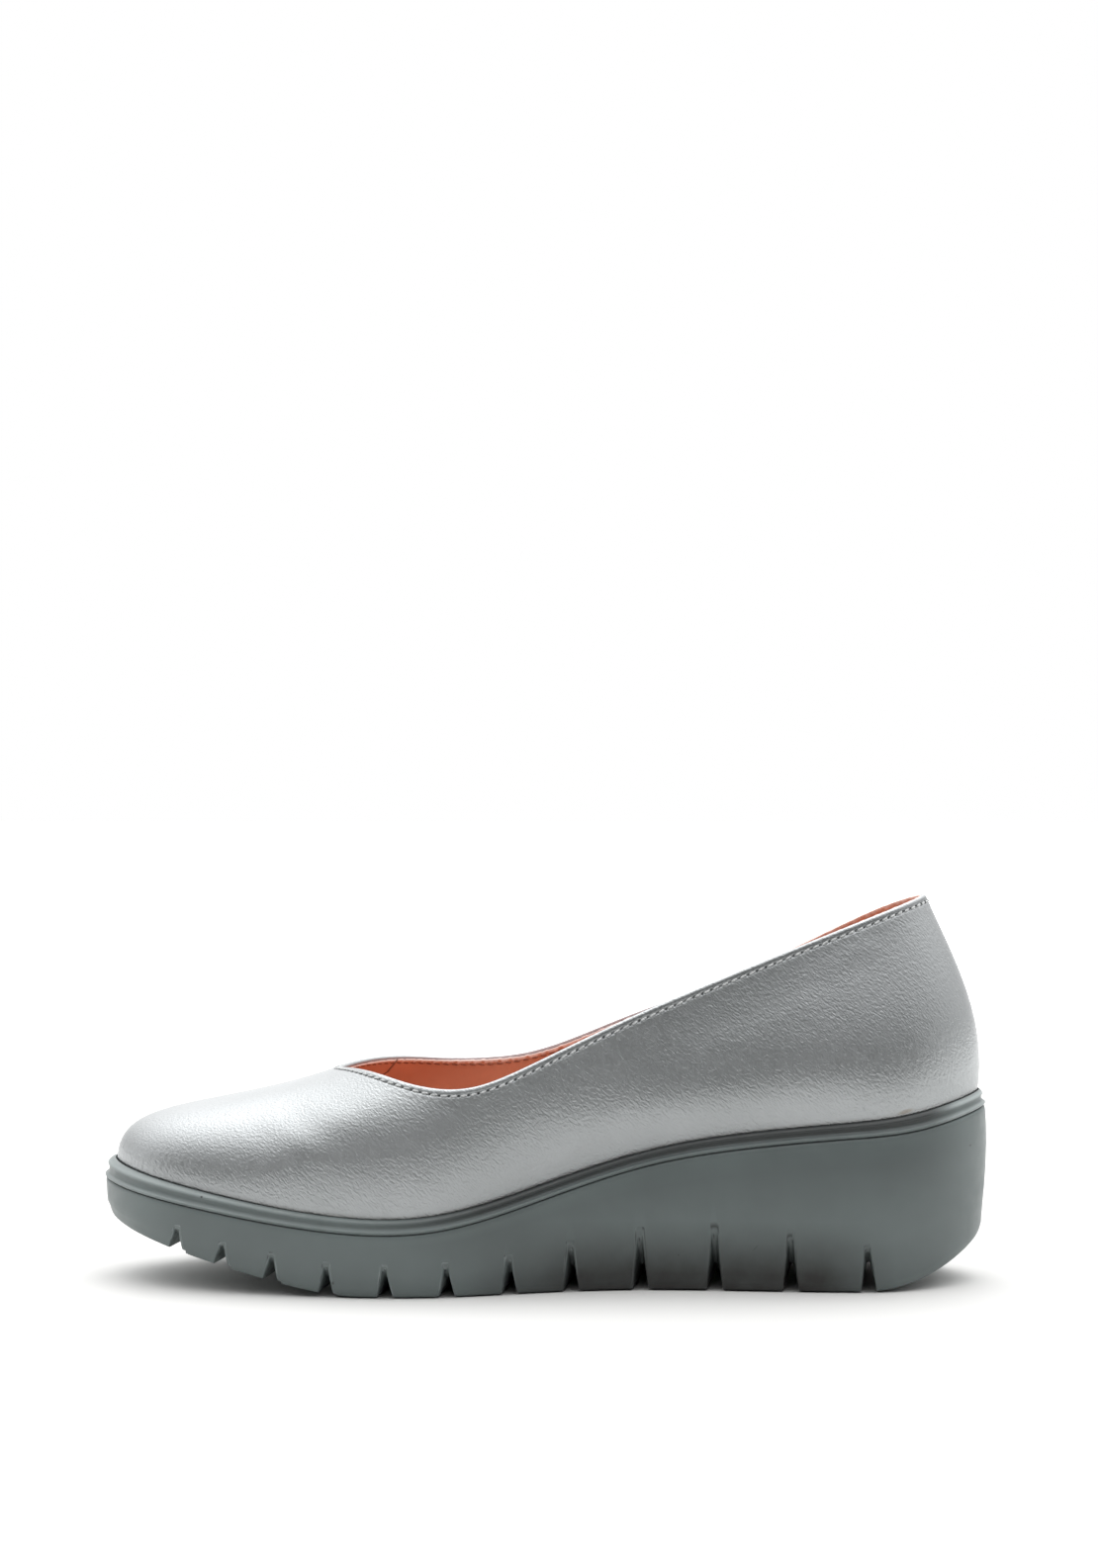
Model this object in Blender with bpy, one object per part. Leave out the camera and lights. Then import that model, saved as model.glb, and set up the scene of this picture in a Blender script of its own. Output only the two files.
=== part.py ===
"""Low-cut wedge court shoe for the right foot: upper, moulded wedge sole and insole.

Sizes are in millimetres and become metres where the meshes are made.
Toe at -X, heel at +X, inner side of the foot at -Y, floor at z = 0.
"""
import bmesh
import bpy
import numpy as np
from collections import namedtuple

METRES = 0.001
WELD = 1e-6

# Driving sizes
FOOT_LENGTH = 244.6
BALL_WIDTH = 85.0
COLLAR_HEIGHT = 107.6
HEEL_HEIGHT = 54.4
TOE_X = -122.2
LEATHER_WALL = 1.8
CLEARANCE = 0.3
INSOLE_THICKNESS = 3.0
INSOLE_INSET = 2.4
INSOLE_EDGE = 0.6
RIM_ROUND = 0.7
SEAT_DEPTH = 1.2
SEAT_LIP = 0.75
SEAT_GAP = 0.35

# Foot line, where the upper meets the sole, from the toe tip to the back of the heel.
# along: share of the foot length; inner, outer: shares of the ball width; seam: share of the
# heel height; band: height of the band under the seam; ledge: how far the band stands out.
FootRow = namedtuple("FootRow", "along inner outer seam band ledge")
FOOT_LINE = (
    FootRow(0.0035, -0.082, -0.082, 0.607, 5.4, 3.0),
    FootRow(0.050, -0.343, 0.158, 0.568, 5.2, 2.7),
    FootRow(0.150, -0.474, 0.340, 0.482, 4.6, 2.5),
    FootRow(0.265, -0.530, 0.430, 0.404, 4.2, 2.3),
    FootRow(0.385, -0.526, 0.466, 0.401, 4.1, 2.2),
    FootRow(0.500, -0.416, 0.464, 0.533, 4.1, 2.0),
    FootRow(0.615, -0.338, 0.428, 0.693, 4.1, 1.9),
    FootRow(0.730, -0.334, 0.382, 0.792, 4.2, 1.9),
    FootRow(0.845, -0.338, 0.350, 0.847, 4.2, 1.9),
    FootRow(0.935, -0.264, 0.270, 0.901, 4.6, 1.9),
    FootRow(1.000, 0.000, 0.000, 0.975, 4.44, 1.9),
)

# Topline of the upper at the same sections, from the throat to the back of the collar.
# rise_in, rise_out: height on each side as a share of the collar height.
TopRow = namedtuple("TopRow", "along inner outer rise_in rise_out")
TOPLINE = (
    TopRow(0.264, -0.036, -0.036, 0.545, 0.545),
    TopRow(0.286, -0.240, 0.165, 0.556, 0.550),
    TopRow(0.323, -0.395, 0.325, 0.554, 0.547),
    TopRow(0.369, -0.475, 0.405, 0.531, 0.537),
    TopRow(0.430, -0.498, 0.432, 0.526, 0.537),
    TopRow(0.500, -0.440, 0.428, 0.585, 0.570),
    TopRow(0.598, -0.358, 0.390, 0.689, 0.660),
    TopRow(0.704, -0.307, 0.345, 0.792, 0.754),
    TopRow(0.812, -0.276, 0.302, 0.893, 0.871),
    TopRow(0.897, -0.184, 0.205, 0.967, 0.965),
    TopRow(0.940, 0.000, 0.000, 1.003, 1.003),
)

# Shape of the wall between the two lines at the same sections.
# lean: degrees out from upright at the foot, in from upright at the top; pull: length of the
# straight run that each end starts with.
WallRow = namedtuple("WallRow", "foot_lean foot_pull top_lean top_pull")
WALL = (
    WallRow(-1.0, 19.0, 70.0, 41.0),
    WallRow(3.0, 18.0, 66.0, 37.0),
    WallRow(7.0, 13.0, 54.0, 27.0),
    WallRow(8.0, 15.0, 46.0, 17.0),
    WallRow(12.0, 12.0, 10.0, 14.0),
    WallRow(18.0, 12.0, 10.0, 14.0),
    WallRow(23.0, 14.0, 7.0, 18.0),
    WallRow(24.0, 17.0, 9.0, 19.0),
    WallRow(20.0, 19.0, 13.0, 20.0),
    WallRow(15.0, 20.0, 17.0, 20.0),
    WallRow(9.0, 21.0, 24.0, 20.0),
)
WALL_TURN = 12.0

# Rings of the sole, from the tread up to the seat of the upper.
# level: 0 tread, 1 groove under the band, 2 seam; lift: height above that level; out: distance
# out from the lip of the band; ledge: share of the ledge taken back in; swell: distance out for
# each unit of the wall's height.
SoleRing = namedtuple("SoleRing", "level lift out ledge swell", defaults=(0.0,))
SOLE_RINGS = (
    SoleRing(0.00, 0.0, -2.4, 0.0),
    SoleRing(0.00, 0.7, -1.5, 0.0),
    SoleRing(0.00, 2.4, -0.9, 0.0),
    SoleRing(0.35, 0.0, -0.45, 0.0, 0.013),
    SoleRing(0.68, 0.0, -0.35, 0.0, 0.027),
    SoleRing(1.00, -0.8, 0.05, 0.0, 0.005),
    SoleRing(1.00, 0.0, -0.45, 0.0),
    SoleRing(1.00, 0.8, 0.34, 0.0),
    SoleRing(1.50, 0.0, -0.80, 0.0),
    SoleRing(1.74, 0.0, -0.42, 0.0),
    SoleRing(1.93, 0.0, -0.40, 0.30),
    SoleRing(2.00, 0.0, -0.10, 0.45),
    SoleRing(2.00, 0.0, SEAT_LIP, 1.0),
    SoleRing(2.00, -SEAT_DEPTH, SEAT_GAP, 1.0),
)

# Rings of the insole. lift: height above its underside; inset: distance in from its edge.
InsoleRing = namedtuple("InsoleRing", "lift inset")
INSOLE_RINGS = (
    InsoleRing(0.0, 0.0),
    InsoleRing(INSOLE_THICKNESS - INSOLE_EDGE, 0.0),
    InsoleRing(INSOLE_THICKNESS, INSOLE_EDGE),
)

# Tread: flat between the ball and the heel, sprung at the toe and rolled up at the heel.
TOE_SPRING_X = -48.0
TOE_SPRING_SLOPE = 0.30
TOE_SPRING_EASE = 22.0
HEEL_ROLL_X = 90.0
HEEL_ROLL_RADIUS = 42.0

# Grooves across the tread. along: place on the middle line; channel: depth of the groove under
# the sole; notch: height of the tapering cut in the side wall, both above the tread.
Groove = namedtuple("Groove", "along channel notch")
GROOVES = (
    Groove(0.103, 4.4, 6.6),
    Groove(0.1585, 4.4, 6.4),
    Groove(0.217, 4.5, 7.7),
    Groove(0.281, 4.6, 8.6),
    Groove(0.348, 4.9, 9.0),
    Groove(0.415, 5.0, 9.2),
    Groove(0.481, 5.4, 10.6),
    Groove(0.547, 6.3, 13.7),
    Groove(0.623, 6.5, 17.1),
    Groove(0.706, 6.9, 18.5),
    Groove(0.791, 7.2, 16.9),
    Groove(0.878, 7.6, 13.0),
)
GROOVE_SKEW = 0.065
GROOVE_LEAN = 0.6
LEAN_STEP = 1.0
NOTCH_DEPTH = 5.5
CUT_MARGIN = 6.0
WALL_LEVEL = 0.35
# Half width of a groove at shares of its height.
GROOVE_HALVES = ((0.0, 2.6), (0.13, 2.15), (0.5, 1.65), (0.86, 1.15), (1.0, 0.55))

# Mesh density
STATIONS = 44
END_CROWDING = 0.45
WALL_STEPS = 12
FINE_STEPS = 400
NORMAL_STEP = 0.01
LAST_ROW = len(FOOT_LINE) - 1
LOOP_ROWS = 2 * LAST_ROW

LEATHER_GREY = (0.30, 0.31, 0.31, 1.0)
SOLE_GREY = (0.13, 0.145, 0.145, 1.0)
LINING_TAN = (0.35, 0.09, 0.04, 1.0)
LEATHER_ROUGHNESS = 0.4
SOLE_ROUGHNESS = 0.6
LINING_ROUGHNESS = 0.5


def closed_spline(knots):
    """Smooth closed curve through a row of values at every whole number of its parameter."""
    knots = np.asarray(knots, float)
    count = len(knots)
    one = np.eye(count)
    system = 4.0 * one + np.roll(one, 1, axis=1) + np.roll(one, -1, axis=1)
    slopes = np.linalg.solve(system, 3.0 * (np.roll(knots, -1, axis=0) - np.roll(knots, 1, axis=0)))

    def at(u):
        whole = np.floor(u).astype(int)
        t = (u - whole)[:, None]
        here = whole % count
        there = (here + 1) % count
        rest = 1.0 - t
        ends = knots[here] * (1.0 + 2.0 * t) * rest ** 2 + knots[there] * (3.0 - 2.0 * t) * t ** 2
        return ends + slopes[here] * t * rest ** 2 - slopes[there] * t ** 2 * rest

    return at


def around(rows, inner_columns, outer_columns):
    """Table rows in order round the shoe: toe, inner side, heel, outer side."""
    inner = [[getattr(row, name) for name in inner_columns] for row in rows]
    outer = [[getattr(row, name) for name in outer_columns] for row in rows]
    return np.array(inner + outer[-2:0:-1])


def along_x(share):
    """Position on the length of the shoe."""
    return TOE_X + FOOT_LENGTH * share


FOOT_SCALE = np.array([FOOT_LENGTH, BALL_WIDTH, HEEL_HEIGHT, 1.0, 1.0])
FOOT_START = np.array([TOE_X, 0.0, 0.0, 0.0, 0.0])
TOP_SCALE = np.array([FOOT_LENGTH, BALL_WIDTH, COLLAR_HEIGHT])
TOP_START = np.array([TOE_X, 0.0, 0.0])
foot_curve = closed_spline(
    FOOT_START + FOOT_SCALE * around(
        FOOT_LINE,
        ("along", "inner", "seam", "band", "ledge"),
        ("along", "outer", "seam", "band", "ledge"),
    )
)
top_curve = closed_spline(
    TOP_START + TOP_SCALE * around(
        TOPLINE, ("along", "inner", "rise_in"), ("along", "outer", "rise_out")
    )
)
wall_curve = closed_spline(around(WALL, WallRow._fields, WallRow._fields))


def unit(vectors):
    """Vectors of length one."""
    return vectors / np.linalg.norm(vectors, axis=-1, keepdims=True)


def plan_normal(u):
    """Outward direction of the foot line, seen from above."""
    run = foot_curve(u + NORMAL_STEP)[:, :2] - foot_curve(u - NORMAL_STEP)[:, :2]
    return unit(np.stack([run[:, 1], -run[:, 0]], axis=1))


def wall_point(u, w):
    """Outer face of the upper: u round the shoe, w from the foot (0) to the topline (1)."""
    foot = foot_curve(u)
    top = top_curve(u)
    shape = wall_curve(u)
    normal = plan_normal(u)
    base = np.column_stack([foot[:, :2], foot[:, 2] - SEAT_DEPTH + CLEARANCE])
    spread = unit(foot[:, :2] - top[:, :2] + WALL_TURN * normal)
    foot_lean = np.radians(shape[:, 0:1])
    top_lean = np.radians(shape[:, 2:3])
    low = base + shape[:, 1:2] * np.hstack([normal * np.sin(foot_lean), np.cos(foot_lean)])
    high = top + shape[:, 3:4] * np.hstack([spread * np.sin(top_lean), -np.cos(top_lean)])
    w = w[:, None]
    v = 1.0 - w
    return v ** 3 * base + 3.0 * v ** 2 * w * low + 3.0 * v * w ** 2 * high + w ** 3 * top


def wall_normal(u, w):
    """Outward direction of the upper's face."""
    below = np.clip(w - NORMAL_STEP, 0.0, 1.0)
    above = np.clip(w + NORMAL_STEP, 0.0, 1.0)
    up = wall_point(u, above) - wall_point(u, below)
    run = wall_point(u + NORMAL_STEP, w) - wall_point(u - NORMAL_STEP, w)
    return unit(np.cross(run, up))


def tread_height(x):
    """Underside of the sole at a place on its length."""
    ahead = np.maximum(TOE_SPRING_X - x, 0.0)
    behind = np.maximum(x - HEEL_ROLL_X, 0.0)
    spring = TOE_SPRING_SLOPE * ahead ** 2 / (ahead + TOE_SPRING_EASE)
    return spring + behind ** 2 / (2.0 * HEEL_ROLL_RADIUS)


def stations():
    """Section numbers from the toe to the heel, closer together at both ends."""
    even = np.linspace(0.0, 1.0, STATIONS + 1)
    crowded = 0.5 - 0.5 * np.cos(np.pi * even)
    return LAST_ROW * (even + END_CROWDING * (crowded - even))


def sole_ring(u, ring):
    """One ring of the sole's side, in step with the foot line."""
    foot = foot_curve(u)
    seam = foot[:, 2]
    groove = seam - foot[:, 3]
    out = foot[:, 4] * (1.0 - ring.ledge) + ring.out
    out = out + ring.swell * (groove - tread_height(foot[:, 0]))
    plan = foot[:, :2] + plan_normal(u) * out[:, None]
    tread = tread_height(plan[:, 0])
    wall = (groove - tread) * min(ring.level, 1.0)
    band = (seam - groove) * max(ring.level - 1.0, 0.0)
    return np.column_stack([plan, tread + wall + band + ring.lift])


def footprint_centre():
    """Middle of the sole, seen from above."""
    loop = np.linspace(0.0, LOOP_ROWS, FINE_STEPS)
    rings = np.concatenate([sole_ring(loop, ring) for ring in SOLE_RINGS])
    middle = (rings.max(axis=0) + rings.min(axis=0)) / 2.0
    return np.array([middle[0], middle[1], 0.0])


def sheet(points):
    """Grid of faces through a table of points; its two long edges are welded together."""
    rows, columns = points.shape[:2]
    placed = (points - footprint_centre()) * METRES
    bm = bmesh.new()
    bmesh.ops.create_grid(bm, x_segments=columns, y_segments=rows - 1, size=1.0)
    for vert in bm.verts:
        column = round((vert.co.x + 1.0) / 2.0 * columns) % columns
        row = round((vert.co.y + 1.0) / 2.0 * (rows - 1))
        vert.co = placed[row, column]
    bmesh.ops.remove_doubles(bm, verts=bm.verts[:], dist=WELD)
    return bm


def add_object(name, bm, colour, roughness):
    """Closed mesh with its own material, faces outward and smooth."""
    bmesh.ops.recalc_face_normals(bm, faces=bm.faces[:])
    for face in bm.faces:
        face.smooth = True
    mesh = bpy.data.meshes.new(name)
    bm.to_mesh(mesh)
    bm.free()
    material = bpy.data.materials.new(name)
    material.use_nodes = True
    surface = material.node_tree.nodes["Principled BSDF"]
    surface.inputs["Base Color"].default_value = colour
    surface.inputs["Roughness"].default_value = roughness
    mesh.materials.append(material)
    piece = bpy.data.objects.new(name, mesh)
    bpy.context.scene.collection.objects.link(piece)
    return piece


def build_upper():
    """Hollow leather upper: outer face, rounded topline, inner face and open foot."""
    side = stations()
    loop = np.concatenate([side, LOOP_ROWS - side[-2:0:-1]])
    rises = np.linspace(0.0, 1.0, WALL_STEPS + 1)
    outside = []
    inside = []
    for rise in rises:
        w = np.full(len(loop), rise)
        face = wall_point(loop, w)
        outside.append(face)
        inside.append(face - LEATHER_WALL * wall_normal(loop, w))
    edge = unit(outside[-1] - outside[-2]) * RIM_ROUND
    rim = (outside[-1] + inside[-1]) / 2.0 + edge
    section = outside + [rim] + inside[::-1]
    points = np.stack(section, axis=1)
    closed = np.concatenate([points, points[:1]])
    return add_object("upper", sheet(closed), LEATHER_GREY, LEATHER_ROUGHNESS)


def two_sided(ring_at, rings):
    """Sections from toe to heel: each goes up the inner side and down the outer side."""
    side = stations()
    inner = [ring_at(side, ring) for ring in rings]
    outer = [ring_at(LOOP_ROWS - side, ring) for ring in rings]
    return np.stack(inner + outer[::-1], axis=1)


def groove_sections(groove):
    """Sections of one groove cutter from outside the inner wall to outside the outer wall."""
    middle = along_x(groove.along)
    side = np.linspace(0.0, LAST_ROW, FINE_STEPS)
    lip = SoleRing(WALL_LEVEL, 0.0, 0.0, 0.0)
    inner = sole_ring(side, lip)
    outer = sole_ring(LOOP_ROWS - side, lip)
    inner_wall = np.interp(middle, inner[:, 0], inner[:, 1])
    outer_wall = np.interp(middle, outer[:, 0], outer[:, 1])
    slope = (groove.notch - groove.channel) / NOTCH_DEPTH
    beyond = groove.notch + slope * CUT_MARGIN
    stops = (
        (inner_wall - CUT_MARGIN, beyond),
        (inner_wall + NOTCH_DEPTH, groove.channel),
        (outer_wall - NOTCH_DEPTH, groove.channel),
        (outer_wall + CUT_MARGIN, beyond),
    )
    mouth = GROOVE_HALVES[0][1]
    sections = []
    for y, height in stops:
        centre = middle + GROOVE_SKEW * y
        floor = float(tread_height(centre))
        fall = float(tread_height(centre - LEAN_STEP) - tread_height(centre + LEAN_STEP))
        lean = GROOVE_LEAN * fall / (2.0 * LEAN_STEP) * height
        left = []
        right = []
        for share, half in GROOVE_HALVES:
            left.append((centre + lean * share - half, y, floor + share * height))
            right.append((centre + lean * share + half, y, floor + share * height))
        below = [(centre + mouth, y, floor - CUT_MARGIN), (centre - mouth, y, floor - CUT_MARGIN)]
        sections.append(below[1:] + left + right[::-1] + below[:1])
    return np.array(sections)


def build_grooves():
    """Cutter for all the grooves of the tread."""
    bm = bmesh.new()
    for groove in GROOVES:
        part = sheet(groove_sections(groove))
        rims = [edge for edge in part.edges if edge.is_boundary]
        bmesh.ops.holes_fill(part, edges=rims, sides=0)
        bmesh.ops.recalc_face_normals(part, faces=part.faces[:])
        mesh = bpy.data.meshes.new("groove")
        part.to_mesh(mesh)
        part.free()
        bm.from_mesh(mesh)
        bpy.data.meshes.remove(mesh)
    cutter = add_object("groove_cutter", bm, SOLE_GREY, SOLE_ROUGHNESS)
    cutter.hide_render = True
    cutter.display_type = "WIRE"
    return cutter


def build_sole():
    """Moulded wedge sole: tread, wall, band, seat, with the grooves cut out."""
    sole = add_object("wedge_sole", sheet(two_sided(sole_ring, SOLE_RINGS)), SOLE_GREY, SOLE_ROUGHNESS)
    cut = sole.modifiers.new("grooves", "BOOLEAN")
    cut.operation = "DIFFERENCE"
    cut.solver = "EXACT"
    cut.object = build_grooves()
    return sole


def insole_ring(u, ring):
    """One edge of the insole, inside the upper's wall."""
    foot = foot_curve(u)
    plan = foot[:, :2] - plan_normal(u) * (INSOLE_INSET + ring.inset)
    return np.column_stack([plan, foot[:, 2] - SEAT_DEPTH + CLEARANCE + ring.lift])


def build_insole():
    """Insole on the seat of the sole."""
    return add_object("insole", sheet(two_sided(insole_ring, INSOLE_RINGS)), LINING_TAN, LINING_ROUGHNESS)


def main():
    for old in list(bpy.data.objects):
        bpy.data.objects.remove(old, do_unlink=True)
    build_upper()
    build_sole()
    build_insole()


main()
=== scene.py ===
"""Looks of a low-cut wedge court shoe: leather upper, lining, topstitch, moulded sole and insole.

Shapes are worked out in millimetres and become metres where the meshes are made.
Toe at -X, heel at +X, inner side of the foot at -Y, floor at z = 0.
"""

import logging
import math
from dataclasses import dataclass, field
from enum import Enum
from typing import NamedTuple

import bmesh
import bpy
import numpy as np
from mathutils import Matrix, Vector


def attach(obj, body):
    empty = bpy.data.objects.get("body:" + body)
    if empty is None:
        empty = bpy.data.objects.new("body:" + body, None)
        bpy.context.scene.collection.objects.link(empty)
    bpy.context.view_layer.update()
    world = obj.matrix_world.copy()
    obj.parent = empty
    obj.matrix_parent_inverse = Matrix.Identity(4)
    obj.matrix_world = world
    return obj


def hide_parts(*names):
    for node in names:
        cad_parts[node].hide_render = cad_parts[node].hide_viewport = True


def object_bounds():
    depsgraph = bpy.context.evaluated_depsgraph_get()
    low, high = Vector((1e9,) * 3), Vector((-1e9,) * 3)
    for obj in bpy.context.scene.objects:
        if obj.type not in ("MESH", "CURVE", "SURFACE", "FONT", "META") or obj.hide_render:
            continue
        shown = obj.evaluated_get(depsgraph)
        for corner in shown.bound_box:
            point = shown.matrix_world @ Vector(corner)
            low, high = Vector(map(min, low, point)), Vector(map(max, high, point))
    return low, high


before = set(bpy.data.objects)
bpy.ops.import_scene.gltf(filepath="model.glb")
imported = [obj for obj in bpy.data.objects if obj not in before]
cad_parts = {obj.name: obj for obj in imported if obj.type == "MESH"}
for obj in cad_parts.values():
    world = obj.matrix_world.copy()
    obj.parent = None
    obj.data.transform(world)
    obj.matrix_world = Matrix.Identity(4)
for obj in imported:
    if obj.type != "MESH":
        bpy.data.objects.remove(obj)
CAD_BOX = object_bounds()

LOG = logging.getLogger("wedge_shoe")
BODY = "root"
METRES = 0.001
WELD = 1e-7
UNIT_SPAN = (0.0, 1.0)
WHITE = (1.0, 1.0, 1.0, 1.0)
STAIN_FADE = (0.45, 1.0)
Colour = tuple[float, float, float, float]
Point = tuple[float, float, float]
Span = tuple[float, float]
Array = np.ndarray
BMesh = bmesh.types.BMesh
Material = bpy.types.Material
Piece = bpy.types.Object
Socket = bpy.types.NodeSocket


class Side(Enum):
    """Side of the foot, as the sign of Y there."""

    INNER = -1.0
    OUTER = 1.0


class Slot(Enum):
    """Material slots of the record."""

    LEATHER = "upper_leather"
    RUBBER = "sole_rubber"
    LINING = "insole_leather"


class FootRow(NamedTuple):
    """Section of the foot line: shares of foot length, ball width and heel height, then band sizes."""

    along: float
    inner: float
    outer: float
    seam: float
    band: float
    ledge: float


class TopRow(NamedTuple):
    """Section of the topline: shares of foot length, ball width and collar height."""

    along: float
    inner: float
    outer: float
    rise_in: float
    rise_out: float


class WallRow(NamedTuple):
    """Section of the wall: lean in degrees and straight run at the foot and at the top."""

    foot_lean: float
    foot_pull: float
    top_lean: float
    top_pull: float


class SoleRing(NamedTuple):
    """Ring of the sole: level 0 tread, 1 groove under the band, 2 seam.

    The swell goes with the wall's height.
    """

    level: float
    lift: float
    out: float
    ledge: float
    swell: float = 0.0


class Groove(NamedTuple):
    """Groove across the tread: place on the length, channel depth and height of the side notch."""

    along: float
    channel: float
    notch: float


class Fold(NamedTuple):
    """Soft ridge (height above 0) or trough (below 0) from start to end, each as (x, z)."""

    side: Side
    start: Span
    end: Span
    width: float
    height: float


class Mark(NamedTuple):
    """Small stain or scuff: centre, half sizes, turn about Y in degrees, colour and cover."""

    centre: Point
    half: Point
    turn: float
    colour: Colour
    cover: float


class Clouds(NamedTuple):
    """Cloudy variation: cells in a metre, finer layers and the span of the noise that counts."""

    scale: float
    detail: float
    span: Span = (0.3, 0.7)


class Grain(NamedTuple):
    """Fine relief: cells in a metre, finer layers or None for pores, strength and depth."""

    scale: float
    detail: float | None
    strength: float
    depth: float


FOOT_LINE = (
    FootRow(0.0035, -0.082, -0.082, 0.607, 5.4, 3.0),
    FootRow(0.050, -0.343, 0.158, 0.568, 5.2, 2.7),
    FootRow(0.150, -0.474, 0.340, 0.482, 4.6, 2.5),
    FootRow(0.265, -0.530, 0.430, 0.404, 4.2, 2.3),
    FootRow(0.385, -0.526, 0.466, 0.401, 4.1, 2.2),
    FootRow(0.500, -0.416, 0.464, 0.533, 4.1, 2.0),
    FootRow(0.615, -0.338, 0.428, 0.693, 4.1, 1.9),
    FootRow(0.730, -0.334, 0.382, 0.792, 4.2, 1.9),
    FootRow(0.845, -0.338, 0.350, 0.847, 4.2, 1.9),
    FootRow(0.935, -0.264, 0.270, 0.901, 4.6, 1.9),
    FootRow(1.000, 0.000, 0.000, 0.975, 4.44, 1.9),
)
TOPLINE = (
    TopRow(0.264, -0.036, -0.036, 0.545, 0.545),
    TopRow(0.286, -0.240, 0.165, 0.556, 0.550),
    TopRow(0.323, -0.395, 0.325, 0.554, 0.547),
    TopRow(0.369, -0.475, 0.405, 0.531, 0.537),
    TopRow(0.430, -0.498, 0.432, 0.526, 0.537),
    TopRow(0.500, -0.440, 0.428, 0.585, 0.570),
    TopRow(0.598, -0.358, 0.390, 0.689, 0.660),
    TopRow(0.704, -0.307, 0.345, 0.792, 0.754),
    TopRow(0.812, -0.276, 0.302, 0.893, 0.871),
    TopRow(0.897, -0.184, 0.205, 0.967, 0.965),
    TopRow(0.940, 0.000, 0.000, 1.003, 1.003),
)
WALL = (
    WallRow(-1.0, 19.0, 70.0, 41.0),
    WallRow(3.0, 18.0, 66.0, 37.0),
    WallRow(7.0, 13.0, 54.0, 27.0),
    WallRow(8.0, 15.0, 46.0, 17.0),
    WallRow(12.0, 12.0, 10.0, 14.0),
    WallRow(18.0, 12.0, 10.0, 14.0),
    WallRow(23.0, 14.0, 7.0, 18.0),
    WallRow(24.0, 17.0, 9.0, 19.0),
    WallRow(20.0, 19.0, 13.0, 20.0),
    WallRow(15.0, 20.0, 17.0, 20.0),
    WallRow(9.0, 21.0, 24.0, 20.0),
)
LAST_ROW = len(FOOT_LINE) - 1
LOOP_ROWS = 2 * LAST_ROW

# Profile of the sole's side, from the tread up to the seat of the upper.
SOLE_PROFILE = (
    SoleRing(0.00, 0.00, -6.00, 0.0),
    SoleRing(0.00, 0.00, -2.90, 0.0),
    SoleRing(0.00, 0.10, -2.20, 0.0),
    SoleRing(0.00, 0.40, -1.72, 0.0),
    SoleRing(0.00, 0.90, -1.40, 0.0),
    SoleRing(0.00, 1.60, -1.12, 0.0),
    SoleRing(0.00, 2.40, -0.90, 0.0),
    SoleRing(0.20, 1.00, -0.62, 0.0, 0.006),
    SoleRing(0.35, 0.00, -0.45, 0.0, 0.013),
    SoleRing(0.50, 0.00, -0.40, 0.0, 0.022),
    SoleRing(0.68, 0.00, -0.35, 0.0, 0.027),
    SoleRing(0.82, 0.00, -0.25, 0.0, 0.024),
    SoleRing(1.00, -1.40, -0.02, 0.0, 0.010),
    SoleRing(1.00, -0.75, 0.05, 0.0, 0.005),
    SoleRing(1.00, -0.35, 0.00, 0.0, 0.002),
    SoleRing(1.00, -0.14, -0.14, 0.0),
    SoleRing(1.00, 0.00, -0.45, 0.0),
    SoleRing(1.00, 0.10, -0.45, 0.0),
    SoleRing(1.00, 0.22, -0.12, 0.0),
    SoleRing(1.00, 0.40, 0.16, 0.0),
    SoleRing(1.00, 0.62, 0.31, 0.0),
    SoleRing(1.00, 0.85, 0.34, 0.0),
    SoleRing(1.00, 1.05, 0.22, 0.0),
    SoleRing(1.00, 1.22, -0.04, 0.0),
    SoleRing(1.00, 1.38, -0.34, 0.0),
    SoleRing(1.00, 1.55, -0.60, 0.0),
    SoleRing(1.44, 0.00, -0.78, 0.0),
    SoleRing(1.50, 0.00, -0.82, 0.0),
    SoleRing(1.57, 0.00, -0.76, 0.0),
    SoleRing(1.64, 0.00, -0.58, 0.0),
    SoleRing(1.70, 0.00, -0.44, 0.0),
    SoleRing(1.76, 0.00, -0.42, 0.0),
    SoleRing(1.82, 0.00, -0.46, 0.06),
    SoleRing(1.87, 0.00, -0.46, 0.14),
    SoleRing(1.92, 0.00, -0.42, 0.26),
    SoleRing(1.96, 0.00, -0.34, 0.40),
    SoleRing(1.985, 0.00, -0.24, 0.56),
    SoleRing(2.00, 0.00, -0.12, 0.68),
    SoleRing(2.00, 0.02, 0.45, 1.0),
    SoleRing(2.00, -0.22, 0.36, 1.0),
    SoleRing(2.00, -0.60, 0.35, 1.0),
    SoleRing(2.00, -1.20, 0.35, 1.0),
    SoleRing(2.00, -1.20, -1.50, 1.0),
)
GROOVE_RING = (1.00, -0.45)
GROOVES = (
    Groove(0.103, 4.4, 6.6),
    Groove(0.1585, 4.4, 6.4),
    Groove(0.217, 4.5, 7.7),
    Groove(0.281, 4.6, 8.6),
    Groove(0.348, 4.9, 9.0),
    Groove(0.415, 5.0, 9.2),
    Groove(0.481, 5.4, 10.6),
    Groove(0.547, 6.3, 13.7),
    Groove(0.623, 6.5, 17.1),
    Groove(0.706, 6.9, 18.5),
    Groove(0.791, 7.2, 16.9),
    Groove(0.878, 7.6, 13.0),
)

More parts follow.
